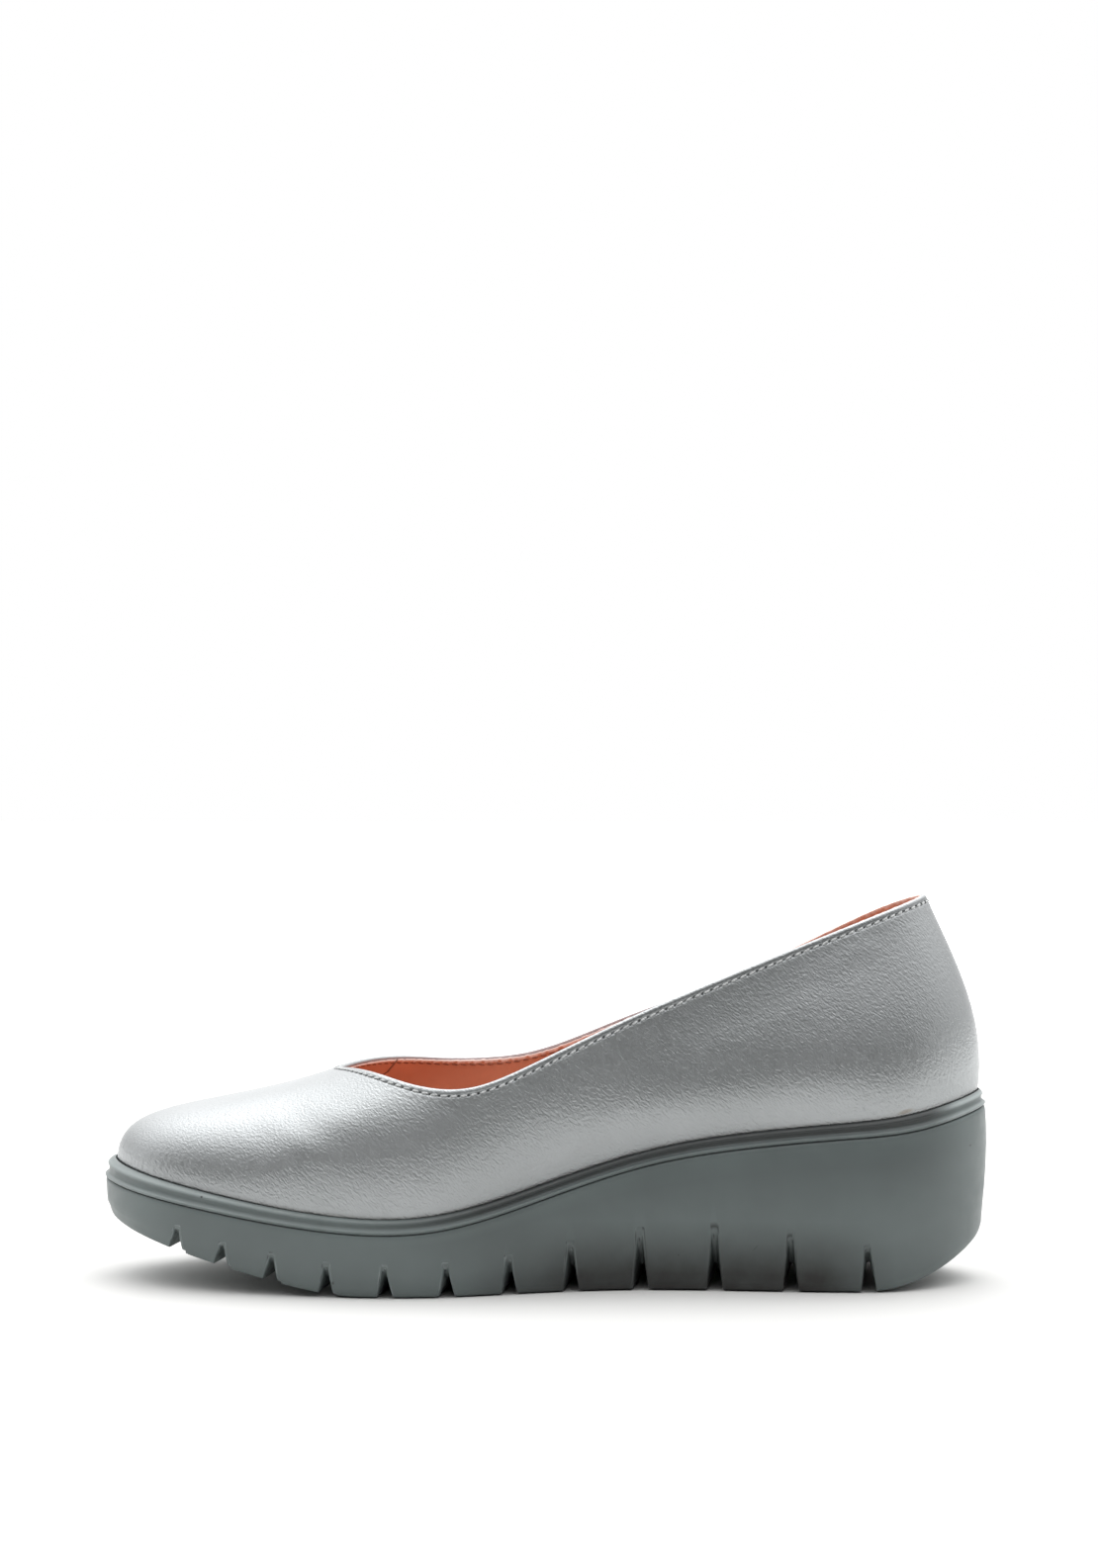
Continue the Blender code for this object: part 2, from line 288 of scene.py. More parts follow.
# Folds of the worn leather. The ball of the foot bends the vamp, and the quarter has gone slack.
FOLDS = (
    Fold(Side.INNER, (-73.0, 46.8), (-58.5, 39.0), 3.2, 0.15),
    Fold(Side.INNER, (-60.0, 44.6), (-48.0, 42.0), 4.4, -0.13),
    Fold(Side.INNER, (-60.5, 49.4), (-52.0, 47.6), 3.6, 0.10),
    Fold(Side.INNER, (47.0, 66.5), (72.0, 79.5), 4.5, 0.13),
    Fold(Side.INNER, (54.0, 73.0), (78.0, 85.0), 4.0, -0.12),
    Fold(Side.INNER, (80.0, 89.0), (90.0, 93.5), 3.2, 0.15),
    Fold(Side.INNER, (76.0, 90.5), (87.0, 89.5), 3.4, -0.10),
    Fold(Side.OUTER, (-70.0, 46.5), (-57.0, 39.5), 3.4, 0.20),
    Fold(Side.OUTER, (-58.0, 44.0), (-46.0, 42.0), 4.2, -0.24),
    Fold(Side.OUTER, (44.0, 66.0), (66.0, 77.0), 4.6, 0.13),
    Fold(Side.OUTER, (50.0, 61.0), (70.0, 70.0), 5.0, -0.12),
)

UPPER_MARKS = (
    Mark((-53.7, -37.0, 41.3), (0.9, 3.0, 0.35), 20.0, (0.80, 0.81, 0.82, 1.0), 0.75),
    Mark((101.1, -23.4, 49.2), (3.0, 3.0, 0.8), -14.0, (0.20, 0.15, 0.09, 1.0), 0.45),
)
SOLE_MARKS = (
    Mark((-91.1, -37.5, 26.0), (0.45, 3.0, 0.4), 0.0, (0.02, 0.02, 0.02, 1.0), 0.85),
    Mark((-54.1, -43.3, 4.0), (0.5, 3.0, 0.6), 0.0, (0.02, 0.02, 0.02, 1.0), 0.7),
    Mark((38.8, -26.9, 9.8), (0.35, 3.0, 0.35), 0.0, (0.03, 0.03, 0.03, 1.0), 0.6),
    Mark((59.8, -27.4, 12.0), (1.3, 3.0, 0.22), -48.0, (0.04, 0.045, 0.045, 1.0), 0.6),
    Mark((119.3, -11.5, 38.6), (0.45, 3.0, 0.4), 0.0, (0.05, 0.05, 0.05, 1.0), 0.6),
)


def unit(vectors: Array) -> Array:
    """Vectors of length one."""
    return vectors / np.linalg.norm(vectors, axis=-1, keepdims=True)


def bell(distance: Array, width: float) -> Array:
    """Soft bump of height one that falls off over a width."""
    return np.exp(-((distance / width) ** 2))


def toe_rows(u: Array) -> Array:
    """Places counted from the toe, alike on both sides."""
    return np.minimum(u, LOOP_ROWS - u)


class ClosedSpline:
    """Smooth closed curve through a row of values at every whole number of its parameter."""

    def __init__(self, knots: Array) -> None:
        """Find the slopes that make the curve smooth at every row.

        Args:
            knots: One row of values for each whole number of the parameter.
        """
        self.knots = np.asarray(knots, float)
        self.count = len(self.knots)
        one = np.eye(self.count)
        system = 4.0 * one + np.roll(one, 1, axis=1) + np.roll(one, -1, axis=1)
        ahead = np.roll(self.knots, -1, axis=0)
        behind = np.roll(self.knots, 1, axis=0)
        self.slopes = np.linalg.solve(system, 3.0 * (ahead - behind))

    def __call__(self, u: Array) -> Array:
        """Values of the curve.

        Args:
            u: Places on the curve.

        Returns:
            One row of values for each place.
        """
        whole = np.floor(u).astype(int)
        t = (u - whole)[:, None]
        here = whole % self.count
        there = (here + 1) % self.count
        rest = 1.0 - t
        start = self.knots[here] * (1.0 + 2.0 * t) * rest ** 2
        end = self.knots[there] * (3.0 - 2.0 * t) * t ** 2
        return start + end + self.slopes[here] * t * rest ** 2 - self.slopes[there] * t ** 2 * rest


def around(rows: tuple, inner: tuple[str, ...], outer: tuple[str, ...]) -> Array:
    """Table rows in order round the shoe: toe, inner side, heel, outer side.

    Args:
        rows: Sections from the toe to the heel.
        inner: Columns to read on the inner side.
        outer: Columns to read on the outer side.

    Returns:
        One row of numbers for each section of the loop.
    """
    there = [[getattr(row, name) for name in inner] for row in rows]
    back = [[getattr(row, name) for name in outer] for row in rows]
    return np.array(there + back[-2:0:-1])


@dataclass
class Last:
    """Form of the last: foot line, topline, the wall between them and the side of the sole."""

    foot_length: float = 244.6
    ball_width: float = 85.0
    collar_height: float = 107.6
    heel_height: float = 54.4
    toe_x: float = -122.2
    seat_depth: float = 1.2
    clearance: float = 0.3
    wall_turn: float = 12.0
    toe_spring_x: float = -48.0
    toe_spring_slope: float = 0.30
    toe_spring_ease: float = 22.0
    heel_roll_x: float = 90.0
    heel_roll_radius: float = 42.0
    normal_step: float = 0.01
    rib_steps: int = 160
    foot: ClosedSpline = field(init=False)
    top: ClosedSpline = field(init=False)
    wall: ClosedSpline = field(init=False)
    centre: Array = field(init=False)

    def __post_init__(self) -> None:
        """Turn the tables into curves and find the middle of the footprint."""
        foot_rows = around(
            FOOT_LINE,
            ("along", "inner", "seam", "band", "ledge"),
            ("along", "outer", "seam", "band", "ledge"),
        )
        top_rows = around(TOPLINE, ("along", "inner", "rise_in"), ("along", "outer", "rise_out"))
        foot_scale = np.array([self.foot_length, self.ball_width, self.heel_height, 1.0, 1.0])
        top_scale = np.array([self.foot_length, self.ball_width, self.collar_height])
        start = np.array([self.toe_x, 0.0, 0.0, 0.0, 0.0])
        self.foot = ClosedSpline(start + foot_scale * foot_rows)
        self.top = ClosedSpline(start[:3] + top_scale * top_rows)
        self.wall = ClosedSpline(around(WALL, WallRow._fields, WallRow._fields))
        low, high = CAD_BOX
        self.centre = np.zeros(3)
        loop = np.linspace(0.0, LOOP_ROWS, self.rib_steps * 4)
        widest = np.concatenate([self.sole_point(loop, ring) for ring in SOLE_PROFILE])
        middle = (widest.max(axis=0) + widest.min(axis=0)) / 2.0
        packed = (np.array(low) + np.array(high)) / 2.0 / METRES
        self.centre = np.array([middle[0] - packed[0], middle[1] - packed[1], 0.0])

    def plan_normal(self, u: Array) -> Array:
        """Outward direction of the foot line, seen from above."""
        run = self.foot(u + self.normal_step)[:, :2] - self.foot(u - self.normal_step)[:, :2]
        return unit(np.stack([run[:, 1], -run[:, 0]], axis=1))

    def point(self, u: Array, w: Array) -> Array:
        """Outer face of the upper.

        Args:
            u: Places round the shoe.
            w: Heights on the wall, from the foot (0) to the topline (1).

        Returns:
            Points in millimetres, in the part's frame.
        """
        foot = self.foot(u)
        top = self.top(u)
        shape = self.wall(u)
        normal = self.plan_normal(u)
        base = np.column_stack([foot[:, :2], foot[:, 2] - self.seat_depth + self.clearance])
        spread = unit(foot[:, :2] - top[:, :2] + self.wall_turn * normal)
        foot_lean = np.radians(shape[:, 0:1])
        top_lean = np.radians(shape[:, 2:3])
        low = base + shape[:, 1:2] * np.hstack([normal * np.sin(foot_lean), np.cos(foot_lean)])
        high = top + shape[:, 3:4] * np.hstack([spread * np.sin(top_lean), -np.cos(top_lean)])
        w = w[:, None]
        v = 1.0 - w
        rib = v ** 3 * base + 3.0 * v ** 2 * w * low + 3.0 * v * w ** 2 * high + w ** 3 * top
        return rib - self.centre

    def normal(self, u: Array, w: Array) -> Array:
        """Outward direction of the upper's face at places u, w."""
        step = self.normal_step
        up = self.point(u, np.clip(w + step, 0.0, 1.0)) - self.point(u, np.clip(w - step, 0.0, 1.0))
        run = self.point(u + step, w) - self.point(u - step, w)
        return unit(np.cross(run, up))

    def rib_lengths(self, u: Array) -> Array:
        """Distance down the wall from the topline.

        Args:
            u: Places round the shoe.

        Returns:
            One column for each place, from the topline to the foot in even steps of w.
        """
        rises = np.linspace(1.0, 0.0, self.rib_steps + 1)
        ribs = np.stack([self.point(u, np.full(len(u), rise)) for rise in rises])
        steps = np.linalg.norm(np.diff(ribs, axis=0), axis=2)
        return np.vstack([np.zeros(len(u)), np.cumsum(steps, axis=0)])

    def rise_at(self, u: Array, drops: Array) -> Array:
        """Heights w that lie given distances down the wall from the topline.

        Args:
            u: Places round the shoe.
            drops: Distances in millimetres, one column for each place.

        Returns:
            Heights on the wall, in the layout of drops.
        """
        lengths = self.rib_lengths(u)
        rises = np.linspace(1.0, 0.0, self.rib_steps + 1)
        columns = [np.interp(drops[:, i], lengths[:, i], rises) for i in range(len(u))]
        return np.stack(columns, axis=1)

    def wall_grid(self, u: Array, drops: Array) -> tuple[Array, Array]:
        """Outer face of the upper at given distances down the wall from the topline.

        Args:
            u: Places round the shoe.
            drops: Distances in millimetres, one column for each place.

        Returns:
            Points and outward directions, in the layout of drops.
        """
        rises = self.rise_at(u, drops)
        spots = np.stack([self.point(u, w) for w in rises])
        return spots, np.stack([self.normal(u, w) for w in rises])

    def tread(self, x: Array) -> Array:
        """Height of the tread at places on the length, before the frame's centre is taken off."""
        ahead = np.maximum(self.toe_spring_x - x, 0.0)
        behind = np.maximum(x - self.heel_roll_x, 0.0)
        spring = self.toe_spring_slope * ahead ** 2 / (ahead + self.toe_spring_ease)
        return spring + behind ** 2 / (2.0 * self.heel_roll_radius)

    def sole_point(self, u: Array, ring: SoleRing) -> Array:
        """One ring of the sole's side, in step with the foot line.

        Args:
            u: Places round the shoe.
            ring: Level, lift and distance out of the ring.

        Returns:
            Points in millimetres, in the part's frame.
        """
        foot = self.foot(u)
        seam = foot[:, 2]
        groove = seam - foot[:, 3]
        out = foot[:, 4] * (1.0 - ring.ledge) + ring.out
        out = out + ring.swell * (groove - self.tread(foot[:, 0]))
        plan = foot[:, :2] + self.plan_normal(u) * out[:, None]
        tread = self.tread(plan[:, 0])
        wall = (groove - tread) * min(ring.level, 1.0)
        band = (seam - groove) * max(ring.level - 1.0, 0.0)
        return np.column_stack([plan, tread + wall + band + ring.lift]) - self.centre


@dataclass
class StitchRow:
    """Row of stitches a little below the topline, counted from the middle of the throat."""

    last: Last
    drop: float = 2.05
    pitch: float = 2.7
    samples: int = 3000
    count: int = field(init=False)
    places: Array = field(init=False)
    passed: Array = field(init=False)

    def __post_init__(self) -> None:
        """Measure the row and share it out in whole stitches."""
        self.places = np.linspace(0.0, LOOP_ROWS, self.samples + 1)
        steps = np.linalg.norm(np.diff(self.line(self.places), axis=0), axis=1)
        arc = np.concatenate([[0.0], np.cumsum(steps)])
        self.count = round(arc[-1] / self.pitch)
        self.passed = arc / arc[-1] * self.count

    def line(self, u: Array) -> Array:
        """Points of the row on the upper's outer face."""
        rises = self.last.rise_at(u, np.full((1, len(u)), self.drop))[0]
        return self.last.point(u, rises)

    def turns(self, u: Array) -> Array:
        """Number of stitches passed at places round the shoe."""
        return np.interp(u, self.places, self.passed)

    def place(self, turns: Array) -> Array:
        """Places round the shoe where a number of stitches has passed."""
        return np.interp(turns, self.passed, self.places)

    def from_hole(self, u: Array) -> Array:
        """Distance along the row to the nearest needle hole."""
        turns = self.turns(u)
        return np.abs(turns - np.round(turns)) * self.pitch


class NodeGraph:
    """Shader nodes of one material or world, added and linked in plain steps."""

    def __init__(self, owner: Material | bpy.types.World, coords: str = "Object") -> None:
        """Start the tree with its coordinates.

        Args:
            owner: Material or world that the nodes belong to.
            coords: Kind of coordinates that the textures read.
        """
        owner.use_nodes = True
        self.owner = owner
        self.tree = owner.node_tree
        self.coords = self.tree.nodes.new("ShaderNodeTexCoord").outputs[coords]

    @classmethod
    def of_material(cls, name: str) -> "NodeGraph":
        """Nodes of a new material with one surface shader."""
        return cls(bpy.data.materials.new(name))

    @property
    def surface(self) -> bpy.types.bpy_prop_collection:
        """Sockets of the material's surface shader."""
        return self.tree.nodes["Principled BSDF"].inputs

    def feed(self, socket: Socket, value: object) -> None:
        """Link a socket to another one, or set it to a plain value.

        Args:
            socket: Input to feed.
            value: Output of another node, or a plain value.
        """
        if isinstance(value, Socket):
            self.tree.links.new(value, socket)
        else:
            socket.default_value = value

    def add(self, kind: str, inputs: dict[str | int, object], **options: object) -> bpy.types.Node:
        """Add one node.

        Args:
            kind: Kind of node.
            inputs: Outputs of other nodes or plain values, by name or number of the input.
            options: Settings of the node itself.

        Returns:
            The node.
        """
        node = self.tree.nodes.new("ShaderNode" + kind)
        for name, value in options.items():
            setattr(node, name, value)
        for key, value in inputs.items():
            self.feed(node.inputs[key], value)
        return node

    def noise(
        self, scale: float, detail: float, vector: Socket | None = None, pull: float = 0.0
    ) -> Socket:
        """Cloudy noise.

        Args:
            scale: Cells in a metre.
            detail: Number of finer layers.
            vector: Coordinates, or None for the piece's own.
            pull: How far the cells are pulled out of shape.

        Returns:
            Value from 0 to 1.
        """
        inputs = {"Vector": vector or self.coords, "Scale": scale, "Detail": detail, "Distortion": pull}
        return self.add("TexNoise", inputs).outputs[0]

    def pebbles(self, scale: float) -> Socket:
        """Rounded cells like the pores of a hide, as distances from their middles."""
        inputs = {"Vector": self.coords, "Scale": scale}
        return self.add("TexVoronoi", inputs, feature="SMOOTH_F1").outputs["Distance"]

    def mapped(self, turn: float, size: Point, centre: Point = (0.0, 0.0, 0.0)) -> Socket:
        """Coordinates about a centre, turned and stretched.

        Args:
            turn: Turn about Y in degrees.
            size: How long the pattern is drawn along each turned axis.
            centre: Place where the coordinates start.

        Returns:
            Coordinates for a texture.
        """
        turned = (0.0, math.radians(turn), 0.0)
        inputs = {"Vector": self.coords, "Location": centre, "Rotation": turned, "Scale": size}
        return self.add("Mapping", inputs, vector_type="TEXTURE").outputs[0]

    def remap(self, value: Socket, span: Span, result: Span) -> Socket:
        """Spread one span of a value over another.

        Args:
            value: Value to read.
            span: Two ends of it that count.
            result: What they become.

        Returns:
            The new value, held at its ends.
        """
        names = ("Value", "From Min", "From Max", "To Min", "To Max")
        return self.add("MapRange", dict(zip(names, (value, *span, *result)))).outputs[0]

    def blend(self, factor: object, first: object, second: object) -> Socket:
        """Colour between a first one, at factor 0, and a second one, at 1."""
        return self.add("Mix", {0: factor, 6: first, 7: second}, data_type="RGBA").outputs[2]

    def math(self, operation: str, first: object, second: object) -> Socket:
        """One step of arithmetic on two values."""
        return self.add("Math", {0: first, 1: second}, operation=operation).outputs[0]

    def length(self, vector: Socket) -> Socket:
        """Length of a vector."""
        return self.add("VectorMath", {0: vector}, operation="LENGTH").outputs["Value"]

    def axis(self, name: str) -> Socket:
        """One axis of the coordinates."""
        return self.add("SeparateXYZ", {0: self.coords}).outputs[name]

    def attribute(self, name: str) -> Socket:
        """Value that the mesh carries at each of its points."""
        return self.add("Attribute", {}, attribute_name=name).outputs["Fac"]

    def bump(self, height: Socket, strength: float, depth: float, under: Socket | None = None) -> Socket:
        """Relief that only the light sees.

        Args:
            height: Height of the relief, from 0 to 1.
            strength: How much of it shows.
            depth: Depth of the relief in millimetres.
            under: Coarser relief below it.

        Returns:
            Direction of the surface.
        """
        inputs = {"Strength": strength, "Distance": depth * METRES, "Height": height}
        if under is not None:
            inputs["Normal"] = under
        return self.add("Bump", inputs).outputs[0]

    def relief(self, grains: tuple[Grain, ...], under: Socket | None = None) -> Socket:
        """Grains laid one over another.

        Args:
            grains: The grains, the coarsest first.
            under: Relief below them.

        Returns:
            Direction of the surface.
        """
        for grain in grains:
            if grain.detail is None:
                height = self.pebbles(grain.scale)
            else:
                height = self.noise(grain.scale, grain.detail)
            under = self.bump(height, grain.strength, grain.depth, under)
        return under

    def clouds(self, clouds: Clouds, result: Span = UNIT_SPAN) -> Socket:
        """Cloudy value between two ends."""
        return self.remap(self.noise(clouds.scale, clouds.detail), clouds.span, result)

    def stain(self, colour: Socket, mark: Mark) -> Socket:
        """Colour with one small mark on it.

        Args:
            colour: Colour of the surface.
            mark: Place, size and colour of the mark.

        Returns:
            The marked colour.
        """
        centre = [value * METRES for value in mark.centre]
        half = [value * METRES for value in mark.half]
        reach = self.length(self.mapped(mark.turn, half, centre))
        return self.blend(self.remap(reach, STAIN_FADE, (mark.cover, 0.0)), colour, mark.colour)

    def finish(self, colour: Socket, roughness: Socket, normal: Socket) -> Material:
        """Feed the surface shader.

        Args:
            colour: Base colour.
            roughness: Roughness.
            normal: Direction of the surface.

        Returns:
            The finished material.
        """
        for name, value in (("Base Color", colour), ("Roughness", roughness), ("Normal", normal)):
            self.feed(self.surface[name], value)
        return self.owner


@dataclass(frozen=True)
class LeatherFinish:
    """Silver-grey soft leather with a fine grain and a pearly gloss."""

    light: Colour = (0.393, 0.407, 0.415, 1.0)
    dark: Colour = (0.359, 0.374, 0.379, 1.0)
    raw: Colour = (0.34, 0.27, 0.27, 1.0)
    # Near-black colour of the painted shade in the needle holes and on the strip between the rim and the
    # stitches.
    pit: Colour = (0.03, 0.032, 0.032, 1.0)
    # Painted shade along the foot of the leather, at its joint with the sole.
    foot_shade: Colour = (0.13, 0.12, 0.10, 1.0)
    foot_shade_cover: float = 0.75
    metallic: float = 0.80
    specular: float = 0.45
    coat: float = 0.06
    coat_roughness: float = 0.30
    roughness: Span = (0.34, 0.40)
    rubbed: Clouds = Clouds(420.0, 3.0)
    clouds: Clouds = Clouds(22.0, 3.0, (0.35, 0.65))
    crinkle: Grain = Grain(1600.0, 1.0, 0.87, 0.18)
    crinkle_turn: float = 42.0
    crinkle_stretch: Point = (2.2, 1.0, 0.85)
    crinkle_pull: float = 0.3
    grains: tuple[Grain, ...] = (Grain(1420.0, None, 0.43, 0.13), Grain(3200.0, 1.0, 0.175, 0.05))

    def material(self) -> Material:
        """Leather that reads the mesh's raw edge and the painted shade in its stitch pits, on the strip
        above them and along the seam with the sole.

        Returns:
            The material.
        """
        graph = NodeGraph.of_material("silver_leather")
        surface = graph.surface
        raw = graph.attribute("raw")
        graph.feed(surface["Metallic"], graph.remap(raw, UNIT_SPAN, (self.metallic, 0.0)))
        surface["Specular IOR Level"].default_value = self.specular
        surface["Coat Weight"].default_value = self.coat
        surface["Coat Roughness"].default_value = self.coat_roughness
        colour = graph.blend(graph.clouds(self.clouds), self.dark, self.light)
        # Painted shade along the leather's joint with the sole.
        foot_shaded = graph.math("MULTIPLY", graph.attribute("foot_shade"), self.foot_shade_cover)
        colour = graph.blend(foot_shaded, colour, self.foot_shade)
        for mark in UPPER_MARKS:
            colour = graph.stain(colour, mark)
        colour = graph.blend(raw, colour, self.raw)
        # Painted shade in the needle holes and on the strip below the rim.
        colour = graph.blend(graph.attribute("pit"), colour, self.pit)
        slanted = graph.mapped(self.crinkle_turn, self.crinkle_stretch)
        crinkle = graph.noise(self.crinkle.scale, self.crinkle.detail, slanted, self.crinkle_pull)
        relief = graph.bump(crinkle, self.crinkle.strength, self.crinkle.depth)
        rough = graph.clouds(self.rubbed, self.roughness)
        return graph.finish(colour, rough, graph.relief(self.grains, relief))


@dataclass(frozen=True)
class LiningFinish:
    """Orange-tan lining leather, a little glossy, with cloudy darker patches."""

    light: Colour = (0.65, 0.29, 0.18, 1.0)
    dark: Colour = (0.56, 0.235, 0.145, 1.0)
    raw: Colour = (0.92, 0.77, 0.73, 1.0)
    seam: Colour = (0.035, 0.012, 0.007, 1.0)
    roughness: Span = (0.40, 0.56)
    rubbed: Clouds = Clouds(300.0, 2.0)
    clouds: Clouds = Clouds(60.0, 4.0, (0.32, 0.68))
    grains: tuple[Grain, ...] = (Grain(1400.0, None, 0.25, 0.08), Grain(500.0, 3.0, 0.2, 0.1))

    def material(self) -> Material:
        """Leather that reads the mesh's raw edge, dark seams and the painted shade of its needle holes.

        Returns:
            The material.
        """
        graph = NodeGraph.of_material("tan_lining")
        colour = graph.blend(graph.clouds(self.clouds), self.dark, self.light)
        colour = graph.blend(graph.attribute("raw"), colour, self.raw)
        # Dark seam, and painted shade in the needle holes.
        colour = graph.blend(graph.attribute("pit"), colour, self.seam)
        return graph.finish(colour, graph.clouds(self.rubbed, self.roughness), graph.relief(self.grains))


@dataclass(frozen=True)
class SoleFinish:
    """Grey-green moulded rubber, satin, with faint clouds and a fine moulded texture."""

    light: Colour = (0.136, 0.165, 0.163, 1.0)
    dark: Colour = (0.115, 0.138, 0.137, 1.0)
    # Painted shade: the rubber darkens towards the floor along the waist, fully on the inner side and
    # about a third on the outer side.
    contact_shade: Colour = (0.015, 0.0145, 0.013, 1.0)
    # Colour of the painted shade that the mesh carries in its shade attribute: groove, joint, wall top
    # and cove.
    shade_colour: Colour = (0.028, 0.032, 0.032, 1.0)
    # Colour of the painted highlight on the band's ridges at the toe and the heel.
    highlight_colour: Colour = (0.36, 0.40, 0.40, 1.0)
    specular: float = 0.5
    roughness: Span = (0.35, 0.48)
    rubbed: Clouds = Clouds(250.0, 3.0)
    clouds: Clouds = Clouds(35.0, 3.0, (0.33, 0.67))
    grains: tuple[Grain, ...] = (Grain(420.0, 2.0, 0.10, 0.08), Grain(2400.0, 2.0, 0.14, 0.04))
    contact_shade_patches: Clouds = Clouds(160.0, 4.0)
    contact_shade_cover: Span = (0.85, 1.0)
    contact_shade_heights: Span = (4.5, 19.5)
    contact_shade_front: Span = (-20.0, 12.0)
    contact_shade_back: Span = (78.0, 98.0)
    contact_shade_across: Span = (-15.0, 5.0)
    contact_shade_outer: float = 0.35

    def material(self) -> Material:
        """Rubber with painted shade towards the floor, and the mesh's painted shade and painted
        highlights.

        Returns:
            The material.
        """
        graph = NodeGraph.of_material("grey_rubber")
        graph.surface["Specular IOR Level"].default_value = self.specular
        colour = graph.blend(graph.clouds(self.clouds), self.dark, self.light)
        # Painted shade near the floor: darker towards the tread, between the toe and heel ends, weaker
        # on the outer side, in cloudy patches.
        contact_shaded = graph.clouds(self.contact_shade_patches, self.contact_shade_cover)
        for name, ends, values in (
            ("Z", self.contact_shade_heights, (1.0, 0.0)),
            ("X", self.contact_shade_front, (0.0, 1.0)),
            ("X", self.contact_shade_back, (1.0, 0.0)),
            ("Y", self.contact_shade_across, (1.0, self.contact_shade_outer)),
        ):
            reach = (ends[0] * METRES, ends[1] * METRES)
            contact_shaded = graph.math("MULTIPLY", graph.remap(graph.axis(name), reach, values), contact_shaded)
        colour = graph.blend(contact_shaded, colour, self.contact_shade)
        # Painted highlight on the band's ridges at the toe and the heel.
        colour = graph.blend(graph.attribute("painted_highlight"), colour, self.highlight_colour)
        # Painted shade from the mesh: in the band's groove, in the joint with the upper, at the wall's
        # top under the lip and in the cove along the waist.
        colour = graph.blend(graph.attribute("shade"), colour, self.shade_colour)
        for mark in SOLE_MARKS:
            colour = graph.stain(colour, mark)
        return graph.finish(colour, graph.clouds(self.rubbed, self.roughness), graph.relief(self.grains))


@dataclass(frozen=True)
class ThreadFinish:
    """Spun sewing thread."""

    name: str = "grey_thread"
    light: Colour = (0.60, 0.61, 0.61, 1.0)
    dark: Colour = (0.42, 0.43, 0.43, 1.0)
    roughness: Span = (0.5, 0.7)
    strand: Grain = Grain(2600.0, 1.0, 0.4, 0.06)
    strand_turn: float = 30.0
    strand_stretch: Point = (2.5, 1.0, 1.0)
    colour_span: Span = (0.35, 0.65)
    rough_span: Span = (0.3, 0.7)

    def material(self) -> Material:
        """Thread with fine strands across it.

        Returns:
            The material.
        """
        graph = NodeGraph.of_material(self.name)
        slanted = graph.mapped(self.strand_turn, self.strand_stretch)
        strands = graph.noise(self.strand.scale, self.strand.detail, slanted)
        colour = graph.blend(graph.remap(strands, self.colour_span, UNIT_SPAN), self.dark, self.light)
        rough = graph.remap(strands, self.rough_span, self.roughness)
        return graph.finish(colour, rough, graph.bump(strands, self.strand.strength, self.strand.depth))


def skin(points: Array, close_rows: bool, layers: dict[str, Array] | None = None) -> BMesh:
    """Grid of faces through a table of points, closed round its columns.

    Args:
        points: Table of points in millimetres: rows, columns, three coordinates.
        close_rows: Whether the last row joins the first one too.
        layers: Values for the points to carry, in the layout of the table.

    Returns:
        The mesh in metres, with doubled points merged.
    """
    rows, columns = points.shape[:2]
    spans = rows if close_rows else rows - 1
    bm = bmesh.new()
    bmesh.ops.create_grid(bm, x_segments=columns, y_segments=spans, size=1.0)
    carried = [(bm.verts.layers.float.new(name), values) for name, values in (layers or {}).items()]
    for vert in bm.verts:
        column = round((vert.co.x + 1.0) / 2.0 * columns) % columns
        row = round((vert.co.y + 1.0) / 2.0 * spans) % rows
        vert.co = points[row, column] * METRES
        for layer, values in carried:
            vert[layer] = values[row, column]
    bmesh.ops.remove_doubles(bm, verts=bm.verts[:], dist=WELD)
    bmesh.ops.recalc_face_normals(bm, faces=bm.faces[:])
    return bm


def new_object(name: str, bm: BMesh) -> Piece:
    """Smooth object from a finished mesh.

    Args:
        name: Name of the object and its mesh.
        bm: Mesh, which is used up.

    Returns:
        The object, linked to the scene.
    """
    for face in bm.faces:
        face.smooth = True
    mesh = bpy.data.meshes.new(name)
    bm.to_mesh(mesh)
    bm.free()
    piece = bpy.data.objects.new(name, mesh)
    bpy.context.scene.collection.objects.link(piece)
    return piece


def dress(piece: Piece, material: Material, node: str | None = None) -> None:
    """Give a piece its finish and its body, and hide the solid that it stands for.

    Args:
        piece: Finished object.
        material: Its finish.
        node: Solid that it stands for, if any.
    """
    piece.data.materials.clear()
    piece.data.materials.append(material)
    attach(piece, BODY)
    if node is not None:
        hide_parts(node)


